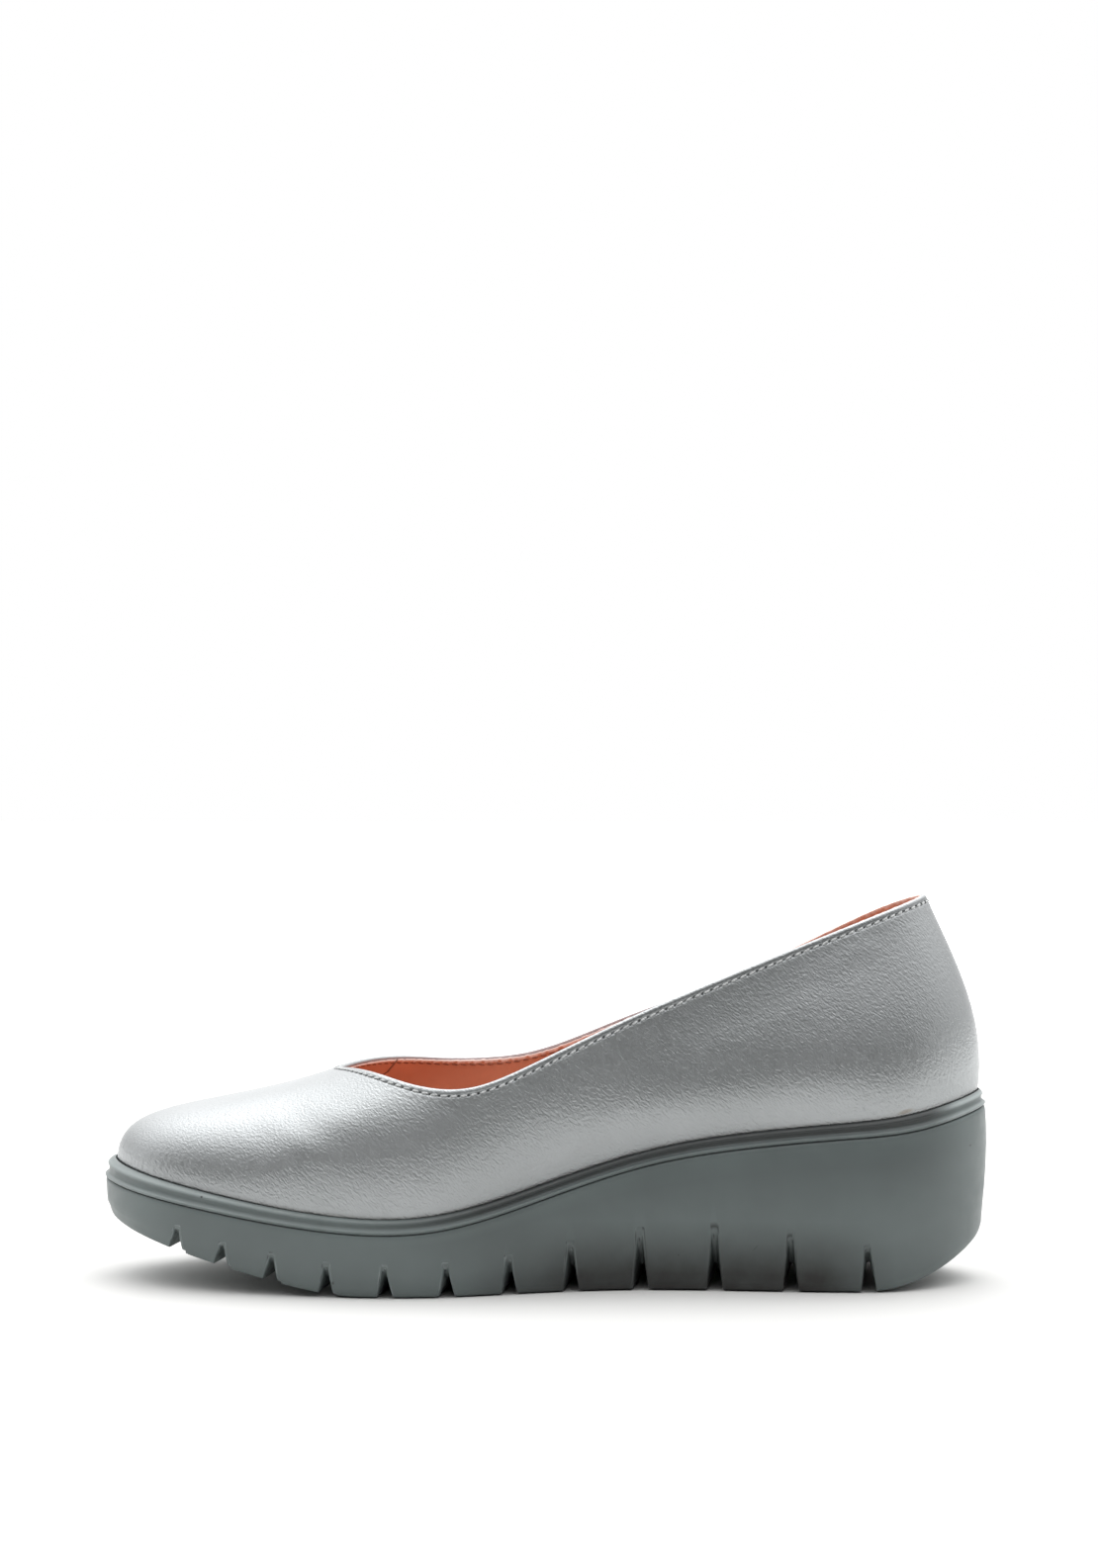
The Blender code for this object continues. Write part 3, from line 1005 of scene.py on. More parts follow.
@dataclass
class Upper:
    """Leather upper with a turned topline, listed folds and a wall of its own."""

    last: Last
    row: StitchRow
    thickness: float = 1.1
    rim_thickness: float = 1.62
    raw_span: Span = (5.9, 7.0)
    tuck: float = 0.12
    tuck_height: float = 0.8
    columns: int = 900
    fine_depth: float = 3.2
    fine_step: float = 0.16
    body_rows: int = 42
    inner_rows: int = 6
    rim_steps: int = 7
    fold_swell: float = 0.05
    stitch_trough: float = 0.14
    pit_depth: float = 0.50
    hole_half: float = 0.50
    pit_span: Span = (1.2, 3.0)
    pit_least: float = 0.35
    # Painted shade on the strip between the rim and the stitches, away from the toe.
    strip_shade: float = 0.32
    strip_drop: float = 1.15
    strip_width: float = 0.45
    strip_span: Span = (4.0, 5.2)
    fold_width: float = 0.55
    trough_width: float = 0.38
    pit_width: float = 0.34
    pit_run: float = 0.36
    tuck_width: float = 0.9
    pucker: float = 0.05
    pucker_drop: float = 1.1
    pucker_width: float = 0.75
    pucker_swing: float = 0.45
    pleat: float = 0.09
    pleat_above: float = 2.0
    pleat_wander: float = 1.5
    wander_pitch: float = 3.1
    pleat_pitch: float = 2.1
    pleat_reach: float = 5.0
    toe_span: float = 1.9
    # Painted shade along the leather's foot at the joint with the sole, weaker at the toe.
    foot_shade_reach: float = 1.1
    foot_shade_span: Span = (0.8, 2.2)
    foot_shade_least: float = 0.2

    def relief(self, spots: Array, u: Array, drop: Array, above: Array) -> Array:
        """Height of the leather above the last's smooth face.

        Args:
            spots: Points of the smooth face, rows by columns.
            u: Places round the shoe, one for each column.
            drop: Distance below the topline at each point.
            above: Distance above the foot line at each point.

        Returns:
            Heights in millimetres.
        """
        across = drop - self.row.drop
        phase = np.cos(2.0 * np.pi * self.row.turns(u))
        height = self.fold_swell * bell(drop - 0.5 * self.row.drop, self.fold_width)
        height -= self.stitch_trough * bell(across, self.trough_width)
        from_toe = toe_rows(u)
        pits = self.pit_depth * np.interp(from_toe, self.pit_span, (self.pit_least, 1.0))
        height -= pits * bell(across, self.pit_width) * bell(self.row.from_hole(u), self.pit_run)
        pucker = self.pucker * bell(across - self.pucker_drop, self.pucker_width)
        height += pucker * (1.0 - self.pucker_swing * phase)
        height -= self.tuck * bell(above - self.tuck_height, self.tuck_width)
        for fold in FOLDS:
            height += self.fold_height(spots, fold)
        foot = self.last.point(u, np.zeros(len(u)))
        arc = np.concatenate([[0.0], np.cumsum(np.linalg.norm(np.diff(foot, axis=0), axis=1))])
        wander = self.pleat_wander * np.sin(arc / self.wander_pitch)
        waves = np.sin(2.0 * np.pi * arc / self.pleat_pitch + wander)
        pleats = self.pleat * waves * bell(from_toe, self.toe_span)
        height += pleats * bell(above - self.pleat_above, self.pleat_reach)
        return height

    @staticmethod
    def fold_height(spots: Array, fold: Fold) -> Array:
        """Height of one fold.

        Args:
            spots: Points of the smooth face.
            fold: The fold's run and size.

        Returns:
            Heights in millimetres.
        """
        start = np.array(fold.start)
        run = np.array(fold.end) - start
        flat = spots[..., [0, 2]] - start
        along = flat @ run / (run @ run)
        nearest = np.clip(along, 0.0, 1.0)[..., None] * run
        gap = np.linalg.norm(flat - nearest, axis=-1)
        on_side = spots[..., 1] * fold.side.value > 0.0
        return fold.height * bell(gap, fold.width) * on_side

    def build(self) -> Piece:
        """Model the leather as one closed wall and dress it.

        Returns:
            The upper.
        """
        u = np.linspace(0.0, LOOP_ROWS, self.columns, endpoint=False)
        total = self.last.rib_lengths(u)[-1]
        half = self.rim_thickness / 2.0
        fine = np.arange(half, self.fine_depth, self.fine_step)
        shares = np.linspace(0.0, 1.0, self.body_rows)
        body = self.fine_depth + shares[:, None] * (total - self.fine_depth)
        drop = np.vstack([np.repeat(fine[:, None], self.columns, axis=1), body])
        spots, outward = self.last.wall_grid(u, drop)
        above = total - drop
        outer = spots + outward * self.relief(spots, u, drop, above)[..., None]

        edge = unit(spots[0] - spots[1])
        turns = np.linspace(0.0, math.pi, self.rim_steps + 2)[1:-1]
        middle = outer[0] - half * outward[0]
        rim = [middle + half * (math.cos(a) * outward[0] + math.sin(a) * edge) for a in turns]
        deep = np.linspace(len(fine), len(drop) - 1, self.inner_rows - 2).astype(int)
        picks = [0, len(fine) // 2, *deep]
        walls = [self.rim_thickness] * 2 + [self.thickness] * len(deep)
        inner = [spots[i] - wall * outward[i] for i, wall in zip(picks, walls)]
        points = np.concatenate([outer[::-1], np.stack(rim), np.stack(inner)])

        blank = np.zeros((self.rim_steps + self.inner_rows, self.columns))
        raw = blank.copy()
        from_toe = toe_rows(u)
        raw[self.rim_steps // 2 + 1:self.rim_steps + 2] = np.interp(from_toe, self.raw_span, (1.0, 0.0))
        # Painted shade in the needle holes, weaker towards the toe.
        holes = bell(drop - self.row.drop, self.hole_half) * bell(self.row.from_hole(u), self.hole_half)
        holes *= np.interp(from_toe, self.pit_span, (self.pit_least, 1.0))
        # Painted shade on the strip between the rim's edge and the stitches.
        strip = bell(drop - self.strip_drop, self.strip_width)
        strip *= np.interp(from_toe, self.strip_span, UNIT_SPAN)
        holes = np.maximum(holes, self.strip_shade * strip)
        # Painted shade along the foot of the leather, at its joint with the sole, weaker at the toe.
        foot_shade = bell(above, self.foot_shade_reach) * (above > 0.0)
        foot_shade *= np.interp(from_toe, self.foot_shade_span, (self.foot_shade_least, 1.0))
        layers = {
            "pit": np.concatenate([holes[::-1], blank]),
            "foot_shade": np.concatenate([foot_shade[::-1], blank]),
            "raw": np.concatenate([np.zeros_like(foot_shade), raw]),
        }
        piece = new_object("leather_upper", skin(points, True, layers))
        dress(piece, LeatherFinish().material(), "upper")
        return piece


@dataclass
class Lining:
    """Tan lining inside the upper, with its trimmed top edge and one joining seam."""

    last: Last
    row: StitchRow
    back: float = 1.14
    face: float = 1.78
    edge_places: tuple[float, ...] = (3.4, 4.6, 5.8, 7.2)
    edge_drops: tuple[float, ...] = (0.56, 0.85, 0.85, 0.15)
    raw_span: Span = (5.8, 7.2)
    ripples: tuple[Span, ...] = ((37.0, 0.0), (61.0, 1.0), (23.0, 2.0))
    ragged: float = 0.10
    raw_depth: float = 0.62
    raw_least: float = 0.45
    columns: int = 640
    fine_depth: float = 8.0
    fine_rows: int = 34
    body_rows: int = 26
    back_rows: int = 5
    seam_drops: Span = (0.0, 6.5)
    seam_places: Span = (18.25, 18.03)
    seam_reach: Span = (17.6, 18.5)
    seam_columns: int = 121
    seam_width: float = 0.34
    seam_depth: float = 0.35
    seam_dark: float = 0.95
    hole_width: float = 0.34
    hole_run: float = 0.42
    hole_dark: float = 0.35
    stitch_dip: float = 0.10
    stitch_width: float = 0.45
    edge_round: float = 0.2
    raw_ripple: float = 0.22
    raw_start: float = 1.5

    def build(self) -> Piece:
        """Model the lining as one closed sheet and dress it.

        Returns:
            The lining.
        """
        even = np.linspace(0.0, LOOP_ROWS, self.columns, endpoint=False)
        u = np.unique(np.concatenate([even, np.linspace(*self.seam_reach, self.seam_columns)]))
        total = self.last.rib_lengths(u)[-1]
        waves = sum(np.sin(u * rate + shift) for rate, shift in self.ripples)
        from_toe = toe_rows(u)
        low = np.interp(from_toe, self.raw_span, (1.0, 0.0))
        start = np.interp(from_toe, self.edge_places, self.edge_drops)
        start = start + self.ragged * waves / len(self.ripples)
        shares = np.linspace(0.0, 1.0, self.fine_rows, endpoint=False)[:, None]
        fine = start + shares * (self.fine_depth - start)
        shares = np.linspace(0.0, 1.0, self.body_rows)[:, None]
        body = self.fine_depth + shares * (total - self.fine_depth)
        drop = np.vstack([fine, body])
        spots, outward = self.last.wall_grid(u, drop)

        across = drop - self.row.drop
        holes = bell(across, self.hole_width) * bell(self.row.from_hole(u), self.hole_run)
        seam_at = np.interp(drop - start, self.seam_drops, self.seam_places)
        steps = np.diff(np.append(u, LOOP_ROWS))
        run = np.linalg.norm(np.roll(spots, -1, axis=1) - spots, axis=2) / steps
        seam = bell((u - seam_at) * run, self.seam_width)
        dip = self.stitch_dip * bell(across, self.stitch_width) + self.seam_depth * seam
        front = spots - outward * (self.face - dip)[..., None]
        rounded = spots[0] - outward[0] * (self.back + self.face) / 2.0
        rounded = rounded + self.edge_round * unit(spots[0] - spots[1])
        picks = np.linspace(0, len(drop) - 1, self.back_rows).astype(int)
        behind = [spots[i] - self.back * outward[i] for i in picks]
        points = np.concatenate([front[::-1], rounded[None], np.stack(behind)])

        blank = np.zeros((1 + self.back_rows, len(u)))
        # Dark seam line, and painted shade in the needle holes.
        dark = np.maximum(self.hole_dark * holes, self.seam_dark * seam)
        reach = self.raw_depth * (1.0 + self.raw_ripple * waves)
        raw = np.clip(self.raw_start - (drop - start) / reach, 0.0, 1.0)
        raw = raw * (self.raw_least + (1.0 - self.raw_least) * low)
        layers = {
            "pit": np.concatenate([dark[::-1], blank]),
            "raw": np.concatenate([raw[::-1], np.repeat(raw[:1], 1 + self.back_rows, axis=0)]),
        }
        piece = new_object("tan_lining", skin(points, True, layers))
        dress(piece, LiningFinish().material())
        return piece


@dataclass
class Topstitch:
    """Stitches along the topline, on the leather and on the lining."""

    last: Last
    row: StitchRow
    length: float = 1.85
    radius: float = 0.29
    slant: float = 7.0
    blunt: float = 0.62
    rise_out: float = 0.07
    rise_in: float = -1.74
    sides: int = 8
    rings: int = 6
    run_step: float = 0.1
    grey: ThreadFinish = ThreadFinish()
    brown: ThreadFinish = ThreadFinish("brown_thread", (0.32, 0.12, 0.07, 1.0), (0.22, 0.08, 0.045, 1.0))

    def one_stitch(self) -> bpy.types.Mesh:
        """One blunt-ended stitch along X, one unit long each way."""
        bm = bmesh.new()
        bmesh.ops.create_uvsphere(bm, u_segments=self.sides, v_segments=self.rings, radius=1.0)
        bmesh.ops.rotate(bm, verts=bm.verts[:], matrix=Matrix.Rotation(math.pi / 2.0, 3, "Y"))
        for vert in bm.verts:
            vert.co.x = math.copysign(abs(vert.co.x) ** self.blunt, vert.co.x)
        mesh = bpy.data.meshes.new("one_stitch")
        bm.to_mesh(mesh)
        bm.free()
        return mesh

    def stitch_places(self, height: float) -> list[Matrix]:
        """Place and direction of every stitch.

        Args:
            height: Distance of the stitch's middle from the upper's outer face.

        Returns:
            One matrix for each stitch, in metres.
        """
        turns = np.arange(self.row.count) + 0.5
        u = self.row.place(turns)
        drops = np.full((1, len(u)), self.row.drop)
        spots, outward = (grid[0] for grid in self.last.wall_grid(u, drops))
        ahead = self.row.place(turns + self.run_step)
        behind = self.row.place(turns - self.run_step)
        run = unit(self.row.line(ahead) - self.row.line(behind))
        across = unit(np.cross(outward, run))
        lean = math.radians(self.slant)
        along = run * math.cos(lean) + across * math.sin(lean)
        side = unit(np.cross(outward, along))
        sizes = (self.length / 2.0, self.radius, self.radius)
        places = []
        for spot, x, y, z in zip(spots + height * outward, along, side, outward):
            matrix = Matrix.Identity(4)
            for column, (axis, size) in enumerate(zip((x, y, z), sizes)):
                matrix.col[column] = Vector((*(axis * size * METRES), 0.0))
            matrix.col[3] = Vector((*(spot * METRES), 1.0))
            places.append(matrix)
        return places

    def build_row(self, name: str, height: float, finish: ThreadFinish) -> Piece:
        """Join one row of stitches into a piece.

        Args:
            name: Name of the piece.
            height: Distance of the stitches from the upper's outer face.
            finish: Thread.

        Returns:
            The row.
        """
        stitch = self.one_stitch()
        bm = bmesh.new()
        for matrix in self.stitch_places(height):
            before = len(bm.verts)
            bm.from_mesh(stitch)
            bm.verts.ensure_lookup_table()
            bmesh.ops.transform(bm, matrix=matrix, verts=bm.verts[before:])
        bmesh.ops.recalc_face_normals(bm, faces=bm.faces[:])
        bpy.data.meshes.remove(stitch)
        piece = new_object(name, bm)
        dress(piece, finish.material())
        return piece

    def build(self) -> list[Piece]:
        """Sew both rows.

        Returns:
            The row on the leather and the row on the lining.
        """
        return [
            self.build_row("topline_stitches", self.rise_out, self.grey),
            self.build_row("lining_stitches", self.rise_in, self.brown),
        ]


@dataclass
class WedgeSole:
    """Moulded wedge sole: tread, rounded lugs, wall, lips of the band and seat."""

    last: Last
    stations: int = 300
    crowding: float = 0.45
    wall_samples: int = 500
    wall_level: float = 0.35
    skew: float = 0.065
    notch_depth: float = 5.5
    margin: float = 6.0
    spread: float = 0.6
    edge_round: float = 0.55
    tread_round: float = 0.8
    neck: float = 0.50
    neck_share: float = 0.014
    mouth_flare: float = 1.35
    taper: float = 1.15
    lean_share: float = 0.6
    lean_step: float = 1.0
    straight_steps: int = 8
    cap_steps: int = 5
    cap_open: float = 0.15
    sharp_angle: float = 42.0
    round_shares: tuple[float, ...] = (0.0, 0.1, 0.3, 0.6, 1.0)
    deep_shares: tuple[float, ...] = (0.2, 0.35, 0.55, 0.75, 1.0)
    scoop: float = 0.55
    band_height: float = 4.2
    # Painted shade in the band's groove, in the joint with the upper, at the wall's top and in the cove
    # under the overhanging leather.
    groove_shade: float = 0.95
    joint_shade: float = 0.97
    joint_shade_span: Span = (0.8, 2.2)
    ridges: tuple[Span, ...] = ((1.2, 0.5), (1.82, 1.0))
    ridge_width: float = 0.13
    # Painted highlight on the band's ridges, towards the toe and the heel.
    highlight_span: tuple[float, ...] = (1.2, 3.0, 9.05, 9.3)
    highlight_most: tuple[float, ...] = (0.6, 0.0, 0.0, 1.0)
    wall_top_shade: float = 0.38
    wall_top_shade_from: Span = (0.35, 1.0)
    cove_shade: float = 0.96
    cove_shade_from: Span = (1.2, 1.5)
    cove_shade_span: tuple[float, ...] = (3.2, 4.5, 9.0, 9.4)

    def station_rows(self) -> Array:
        """Places from the toe to the heel, closer together at both ends."""
        even = np.linspace(0.0, 1.0, self.stations + 1)
        crowded = 0.5 - 0.5 * np.cos(np.pi * even)
        return LAST_ROW * (even + self.crowding * (crowded - even))

    def body(self) -> BMesh:
        """Sole without its grooves, as sections from toe to heel."""
        side = self.station_rows()
        inner = [self.last.sole_point(side, ring) for ring in SOLE_PROFILE]
        outer = [self.last.sole_point(LOOP_ROWS - side, ring) for ring in SOLE_PROFILE]
        # Painted shade and painted highlight that the rings carry to the finish.
        shade = [self.shade(side, ring) for ring in SOLE_PROFILE]
        painted_highlight = [self.painted_highlight(side, ring) for ring in SOLE_PROFILE]
        layers = {
            "shade": np.stack(shade + shade[::-1], axis=1),
            "painted_highlight": np.stack(painted_highlight + painted_highlight[::-1], axis=1),
        }
        return skin(np.stack(inner + outer[::-1], axis=1), False, layers)

    def shade(self, u: Array, ring: SoleRing) -> Array:
        """Painted shade that one ring carries: in the groove under the band, in the joint with the
        upper, at the wall's top under the lip and, along the waist, in the band's cove.

        Args:
            u: Places from the toe to the heel.
            ring: The ring.

        Returns:
            Values from 0, no painted shade, to 1.
        """
        if (ring.level, ring.out) == GROOVE_RING:
            return np.full(len(u), self.groove_shade)
        if ring.ledge == 1.0:
            return self.joint_shade * np.interp(u, self.joint_shade_span, (0.0, 1.0))
        height = ring.level + ring.lift / self.band_height
        deep = np.interp(height, self.cove_shade_from, (0.0, 1.0))
        along = np.interp(u, self.cove_shade_span, (0.0, 1.0, 1.0, 0.0))
        if height < 1.0:
            return self.wall_top_shade * np.interp(height, self.wall_top_shade_from, (0.0, 1.0)) * along
        return self.cove_shade * deep * along

    def painted_highlight(self, u: Array, ring: SoleRing) -> Array:
        """Painted highlight, paler rubber, that one ring carries on the band's ridges at the toe and the
        heel.

        Args:
            u: Places from the toe to the heel.
            ring: The ring.

        Returns:
            Values from 0 to 1.
        """
        height = ring.level + ring.lift / self.band_height
        crests = [share * float(bell(height - ridge, self.ridge_width)) for ridge, share in self.ridges]
        return max(crests) * np.interp(u, self.highlight_span, self.highlight_most)

    @staticmethod
    def rounding(share: float) -> float:
        """Width that a quarter round adds at a share of its radius from the edge."""
        return 1.0 - math.sqrt(max(0.0, 1.0 - (1.0 - share) ** 2))

    def half_widths(self, height: float) -> list[Span]:
        """Outline of a groove: rounded at the tread, tapering, with a round top.

        Args:
            height: Height of the groove above the tread.

        Returns:
            Pairs of height above the tread and half width.
        """
        neck = self.neck + self.neck_share * height
        mouth = neck + self.mouth_flare
        neck_height = height - neck
        outline = [(-self.margin, mouth + self.tread_round + self.spread)]
        for share in self.round_shares:
            extra = self.tread_round * self.rounding(share)
            outline.append((self.tread_round * share, mouth + extra))
        for step in range(1, self.straight_steps + 1):
            share = step / self.straight_steps
            half = neck + self.mouth_flare * (1.0 - share) ** self.taper
            outline.append((self.tread_round + share * (neck_height - self.tread_round), half))
        for step in range(1, self.cap_steps + 1):
            turn = 0.5 * math.pi * step / (self.cap_steps + self.cap_open)
            outline.append((neck_height + neck * math.sin(turn), neck * math.cos(turn)))
        return outline

    def wall_line(self, side: Side, middle: float) -> tuple[float, float, float]:
        """Wall of the sole beside a groove.

        Args:
            side: Side of the foot.
            middle: Place of the groove on the length.

        Returns:
            Y of the wall at the reference level, and heights of the tread and of the band's groove.
        """
        rows = np.linspace(0.0, LAST_ROW, self.wall_samples)
        u = rows if side is Side.INNER else LOOP_ROWS - rows
        wall = self.last.sole_point(u, SoleRing(self.wall_level, 0.0, 0.0, 0.0))
        foot = self.last.foot(u)
        y = float(np.interp(middle, wall[:, 0], wall[:, 1]))
        band = float(np.interp(middle, wall[:, 0], foot[:, 2] - foot[:, 3]))
        return y, tread_at(self.last, middle), band

    def wall_out(self, height: float, tread: float, band: float) -> float:
        """Distance of the wall from its reference line.

        Args:
            height: Height above the tread.
            tread: Height of the tread.
            band: Height of the groove under the band.

        Returns:
            Distance out from the line.
        """
        low = [ring for ring in SOLE_PROFILE if ring.level < 1.0]
        heights = [ring.level * (band - tread) + ring.lift for ring in low]
        outs = [ring.out + ring.swell * (band - tread) for ring in low]
        return float(np.interp(height, heights, outs))

    def section(self, groove: Groove, side: Side, depth: float) -> list[Point]:
        """Outline of a groove cutter at a depth inside the wall.

        Args:
            groove: Place and heights of the groove.
            side: Side of the foot.
            depth: Distance inside the wall, below 0 outside it.

        Returns:
            Points of the closed outline in millimetres.
        """
        middle = self.last.toe_x + self.last.foot_length * groove.along - self.last.centre[0]
        place = middle + self.skew * self.wall_line(side, middle)[0]
        wall_y, tread, band = self.wall_line(side, place)
        ends = [self.wall_line(side, place + step)[0] for step in (-self.lean_step, self.lean_step)]
        turn = (ends[1] - ends[0]) / (2.0 * self.lean_step)
        sunk = min(max(depth, 0.0) / self.notch_depth, 1.0)
        height = groove.notch - (groove.notch - groove.channel) * sunk ** self.scoop
        flare = self.edge_round * self.rounding(min(max(depth, 0.0) / self.edge_round, 1.0))
        flare += min(max(-depth, 0.0), self.spread)
        before = tread_at(self.last, middle - self.lean_step)
        after = tread_at(self.last, middle + self.lean_step)
        lean = self.lean_share * (before - after) / (2.0 * self.lean_step)
        left = []
        right = []
        for above, half in self.half_widths(height + flare):
            out = self.wall_out(max(above, 0.0), tread, band) - depth
            y = wall_y + side.value * out
            x = middle + self.skew * y
            z = tread_at(self.last, x) + above
            shift = lean * max(above, 0.0)
            for edge, reach in ((left, shift - half - flare), (right, shift + half + flare)):
                edge.append((x + reach, y + turn * reach, z))
        return left + right[::-1]

    def cutter(self) -> BMesh:
        """All the grooves as closed solids that the sole is cut with."""
        depths = [-self.margin, -self.spread]
        depths += [self.edge_round * share for share in self.round_shares]
        depths += [self.notch_depth * share for share in self.deep_shares]
        bm = bmesh.new()
        for groove in GROOVES:
            rows = [self.section(groove, Side.INNER, depth) for depth in depths]
            rows += [self.section(groove, Side.OUTER, depth) for depth in depths[::-1]]
            part = skin(np.array(rows), False)
            rims = [edge for edge in part.edges if edge.is_boundary]
            bmesh.ops.holes_fill(part, edges=rims, sides=0)
            bmesh.ops.recalc_face_normals(part, faces=part.faces[:])
            mesh = bpy.data.meshes.new("groove")
            part.to_mesh(mesh)
            part.free()
            bm.from_mesh(mesh)
            bpy.data.meshes.remove(mesh)
        for face in bm.faces:
            face.material_index = 1
        return bm

    @staticmethod
    def sharpen_rims(mesh: bpy.types.Mesh) -> None:
        """Give the rims of the grooves sharp edges, so that the wall beside them stays smooth.

        Args:
            mesh: Cut sole, with the faces of the grooves in its second slot.
        """
        bm = bmesh.new()
        bm.from_mesh(mesh)
        for edge in bm.edges:
            if len({face.material_index for face in edge.link_faces}) > 1:
                edge.smooth = False
        for face in bm.faces:
            face.material_index = 0
        bm.to_mesh(mesh)
        bm.free()

    def build(self) -> Piece:
        """Cut the grooves out of the sole and dress it.

        Returns:
            The sole.
        """
        plain = new_object("plain_sole", self.body())
        grooves = new_object("sole_grooves", self.cutter())
        for piece in (plain, grooves):
            piece.data.materials.append(None)
            piece.data.materials.append(None)
        cut = plain.modifiers.new("grooves", "BOOLEAN")
        cut.operation = "DIFFERENCE"
        cut.solver = "EXACT"
        cut.object = grooves
        depsgraph = bpy.context.evaluated_depsgraph_get()
        mesh = bpy.data.meshes.new_from_object(plain.evaluated_get(depsgraph))
        bpy.data.objects.remove(plain, do_unlink=True)
        bpy.data.objects.remove(grooves, do_unlink=True)
        mesh.name = "grooved_sole"
        mesh.shade_smooth()
        mesh.set_sharp_from_angle(angle=math.radians(self.sharp_angle))
        self.sharpen_rims(mesh)
        piece = bpy.data.objects.new("grooved_sole", mesh)
        bpy.context.scene.collection.objects.link(piece)
        dress(piece, SoleFinish().material(), "wedge_sole")
        return piece


def tread_at(last: Last, x: float) -> float:
    """Height of the tread at one place of the part's frame."""
    return float(last.tread(np.array([x + last.centre[0]]))[0])


@dataclass
class InsoleSock:
    """Leather sock on the insole, a little dished with a rolled edge."""

    last: Last
    stations: int = 160
    thickness: float = 3.0
    inset: float = 2.45
    rings: tuple[Span, ...] = (
        (0.0, 0.3), (0.12, 0.05), (0.5, 0.0), (0.85, 0.1), (0.96, 0.35), (1.0, 0.8), (0.99, 1.8),
        (0.93, 5.0), (0.88, 10.0), (0.86, 16.0),
    )

    def ring(self, u: Array, lift: float, inset: float) -> Array:
        """One ring of the sock.

        Args:
            u: Places round the shoe.
            lift: Share of the thickness.
            inset: Distance in from the sock's edge.

        Returns:
            Points in millimetres.
        """
        foot = self.last.foot(u)
        plan = foot[:, :2] - self.last.plan_normal(u) * (self.inset + inset)
        floor = foot[:, 2] - self.last.seat_depth + self.last.clearance
        return np.column_stack([plan, floor + lift * self.thickness]) - self.last.centre

    def build(self) -> Piece:
        """Model the sock and dress it.

        Returns:
            The sock.
        """
        side = np.linspace(0.0, LAST_ROW, self.stations + 1)
        inner = [self.ring(side, *sizes) for sizes in self.rings]
        outer = [self.ring(LOOP_ROWS - side, *sizes) for sizes in self.rings]
        bm = skin(np.stack(inner + outer[::-1], axis=1), False)
        bm.verts.layers.float.new("pit")
        piece = new_object("insole_sock", bm)
        dress(piece, LiningFinish().material(), "insole")
        return piece


@dataclass(frozen=True)
class Softbox:
    """Soft rectangular light: place, aim and size in metres, and power in watts."""

    name: str
    place: Point
    aim: Point
    size: Span
    power: float
    colour: tuple[float, float, float] = (1.0, 1.0, 1.0)

    def build(self) -> None:
        """Hang the light."""
        lamp = bpy.data.lights.new(self.name, "AREA")
        lamp.shape = "RECTANGLE"
        lamp.size, lamp.size_y = self.size
        lamp.energy = self.power
        lamp.color = self.colour
        light = bpy.data.objects.new(self.name, lamp)
        direction = Vector(self.aim) - Vector(self.place)
        light.location = self.place
        light.rotation_euler = direction.to_track_quat("-Z", "Y").to_euler()
        light.visible_camera = False
        bpy.context.scene.collection.objects.link(light)


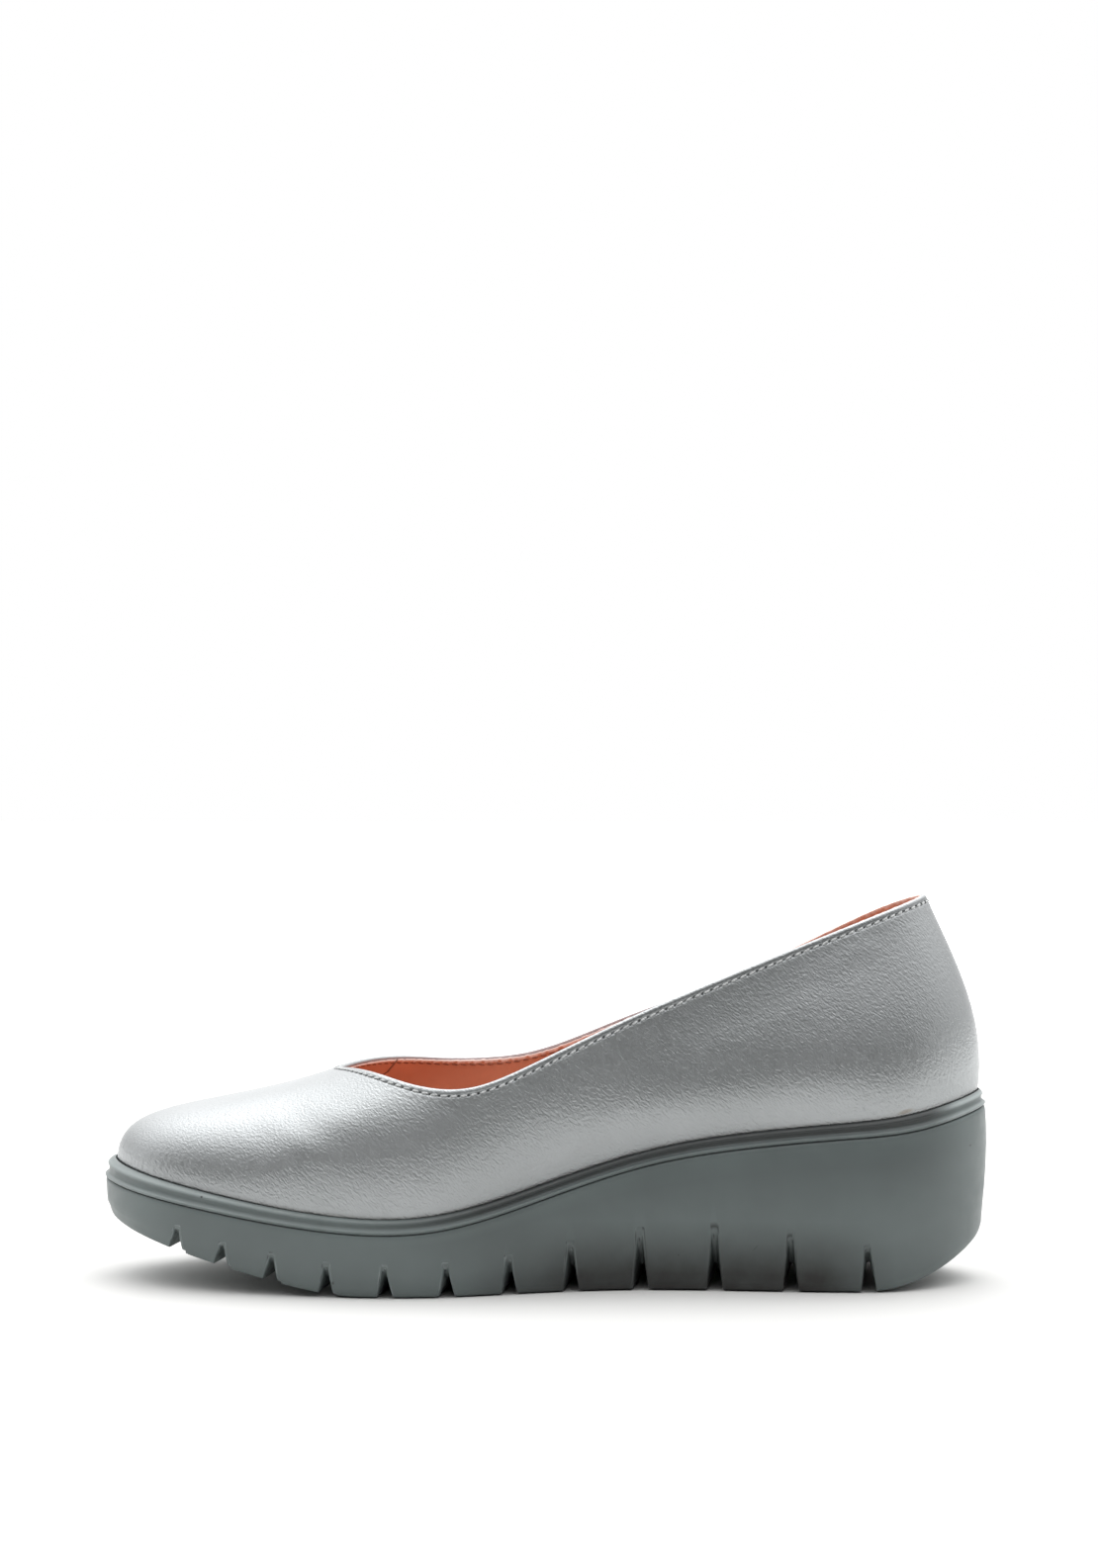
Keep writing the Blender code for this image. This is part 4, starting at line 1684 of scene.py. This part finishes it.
@dataclass
class Studio:
    """White sweep, soft lights and the camera."""

    camera_turn: float = 4.0
    camera_distance: float = 817.6
    camera_height: float = 138.8
    aim_x: float = 1.21
    aim_y: float = 2.77
    focal_pixels: float = 2900.0
    frame_height: float = 1585.0
    sensor: float = 36.0
    floor_half: float = 5.0
    floor_front: float = 0.42
    floor_drop: float = 0.0002
    floor_colour: Colour = (0.66, 0.658, 0.650, 1.0)
    floor_roughness: float = 0.8
    floor_specular: float = 0.1
    glow: float = 1.0
    glow_from: Span = (0.25, 0.8)
    glow_behind: Span = (-0.35, 0.15)
    sky_light: float = 2.7
    sky_fall: float = 4.0
    sky_lean: float = 15.0
    wall_light: float = 1.25
    wall_fall: float = 2.0
    front_light: float = 1.6
    front_fall: float = 1.6
    lights: tuple[Softbox, ...] = (
        Softbox("left_box", (-1.25, 0.12, 0.42), (0.0, 0.0, 0.05), (1.3, 1.0), 2.6),
        Softbox("right_box", (1.25, 0.15, 0.48), (0.0, 0.0, 0.05), (1.2, 0.9), 1.8),
    )

    def floor(self) -> None:
        """Lay the floor, which glows white away from the shoe."""
        bm = bmesh.new()
        bmesh.ops.create_grid(bm, x_segments=1, y_segments=1, size=self.floor_half)
        shift = (0.0, self.floor_half - self.floor_front, -self.floor_drop)
        bmesh.ops.translate(bm, verts=bm.verts[:], vec=shift)
        floor = new_object("studio_floor", bm)
        graph = NodeGraph.of_material("white_sweep")
        spread = graph.remap(graph.length(graph.coords), self.glow_from, (0.0, 1.0))
        behind = graph.remap(graph.axis("Y"), self.glow_behind, (0.0, self.glow))
        glow = graph.math("MULTIPLY", spread, behind)
        surface = graph.surface
        surface["Base Color"].default_value = self.floor_colour
        surface["Roughness"].default_value = self.floor_roughness
        surface["Specular IOR Level"].default_value = self.floor_specular
        surface["Emission Color"].default_value = WHITE
        graph.feed(surface["Emission Strength"], glow)
        floor.data.materials.append(graph.owner)

    def sky(self) -> None:
        """White background for the camera, and soft light for the shoe."""
        world = bpy.data.worlds.new("studio")
        graph = NodeGraph(world, "Generated")
        tree = graph.tree
        even = tree.nodes["Background"]
        lean = math.radians(self.sky_lean)
        ahead = graph.math("MULTIPLY", graph.axis("Y"), math.sin(lean))
        above = graph.math("MULTIPLY", graph.axis("Z"), math.cos(lean))
        lobes = (
            (graph.math("ADD", ahead, above), self.sky_fall, self.sky_light),
            (graph.axis("Y"), self.wall_fall, self.wall_light),
            (graph.axis("Z"), self.front_fall, self.front_light),
        )
        total = None
        for cosine, fall, light in lobes:
            lobe = graph.math("POWER", graph.math("MAXIMUM", cosine, 0.0), fall)
            lobe = graph.math("MULTIPLY", lobe, light)
            total = lobe if total is None else graph.math("ADD", total, lobe)
        graph.feed(even.inputs["Strength"], total)
        even.inputs["Color"].default_value = WHITE
        white = graph.add("Background", {"Color": WHITE, "Strength": 1.0})
        seen = graph.add("LightPath", {}).outputs["Is Camera Ray"]
        mix = graph.add("MixShader", {0: seen, 1: even.outputs[0], 2: white.outputs[0]})
        graph.feed(tree.nodes["World Output"].inputs["Surface"], mix.outputs[0])
        bpy.context.scene.world = world

    def camera(self) -> None:
        """Set the camera level, at the photograph's angle and distance."""
        data = bpy.data.cameras.new("camera")
        data.sensor_width = self.sensor
        data.lens = self.sensor * self.focal_pixels / self.frame_height
        turn = math.radians(self.camera_turn)
        x = self.aim_x + self.camera_distance * math.sin(turn)
        y = self.aim_y - self.camera_distance * math.cos(turn)
        camera = bpy.data.objects.new("camera", data)
        camera.location = (x * METRES, y * METRES, self.camera_height * METRES)
        camera.rotation_euler = (math.pi / 2.0, 0.0, turn)
        bpy.context.scene.collection.objects.link(camera)
        bpy.context.scene.camera = camera

    def build(self) -> None:
        """Set up the studio."""
        scene = bpy.context.scene
        scene.view_settings.view_transform = "Standard"
        scene.view_settings.look = "None"
        self.camera()
        self.floor()
        self.sky()
        for light in self.lights:
            light.build()


def main() -> None:
    """Build the studio and every piece of the shoe in order."""
    logging.basicConfig(level=logging.INFO, format="%(name)s: %(message)s")
    Studio().build()
    last = Last()
    row = StitchRow(last)
    pieces = [Upper(last, row).build(), Lining(last, row).build()]
    pieces += Topstitch(last, row).build()
    pieces += [WedgeSole(last).build(), InsoleSock(last).build()]
    for piece in pieces:
        piece.data.calc_loop_triangles()
        LOG.info("%s: %d triangles", piece.name, len(piece.data.loop_triangles))


if __name__ == "__main__":
    main()
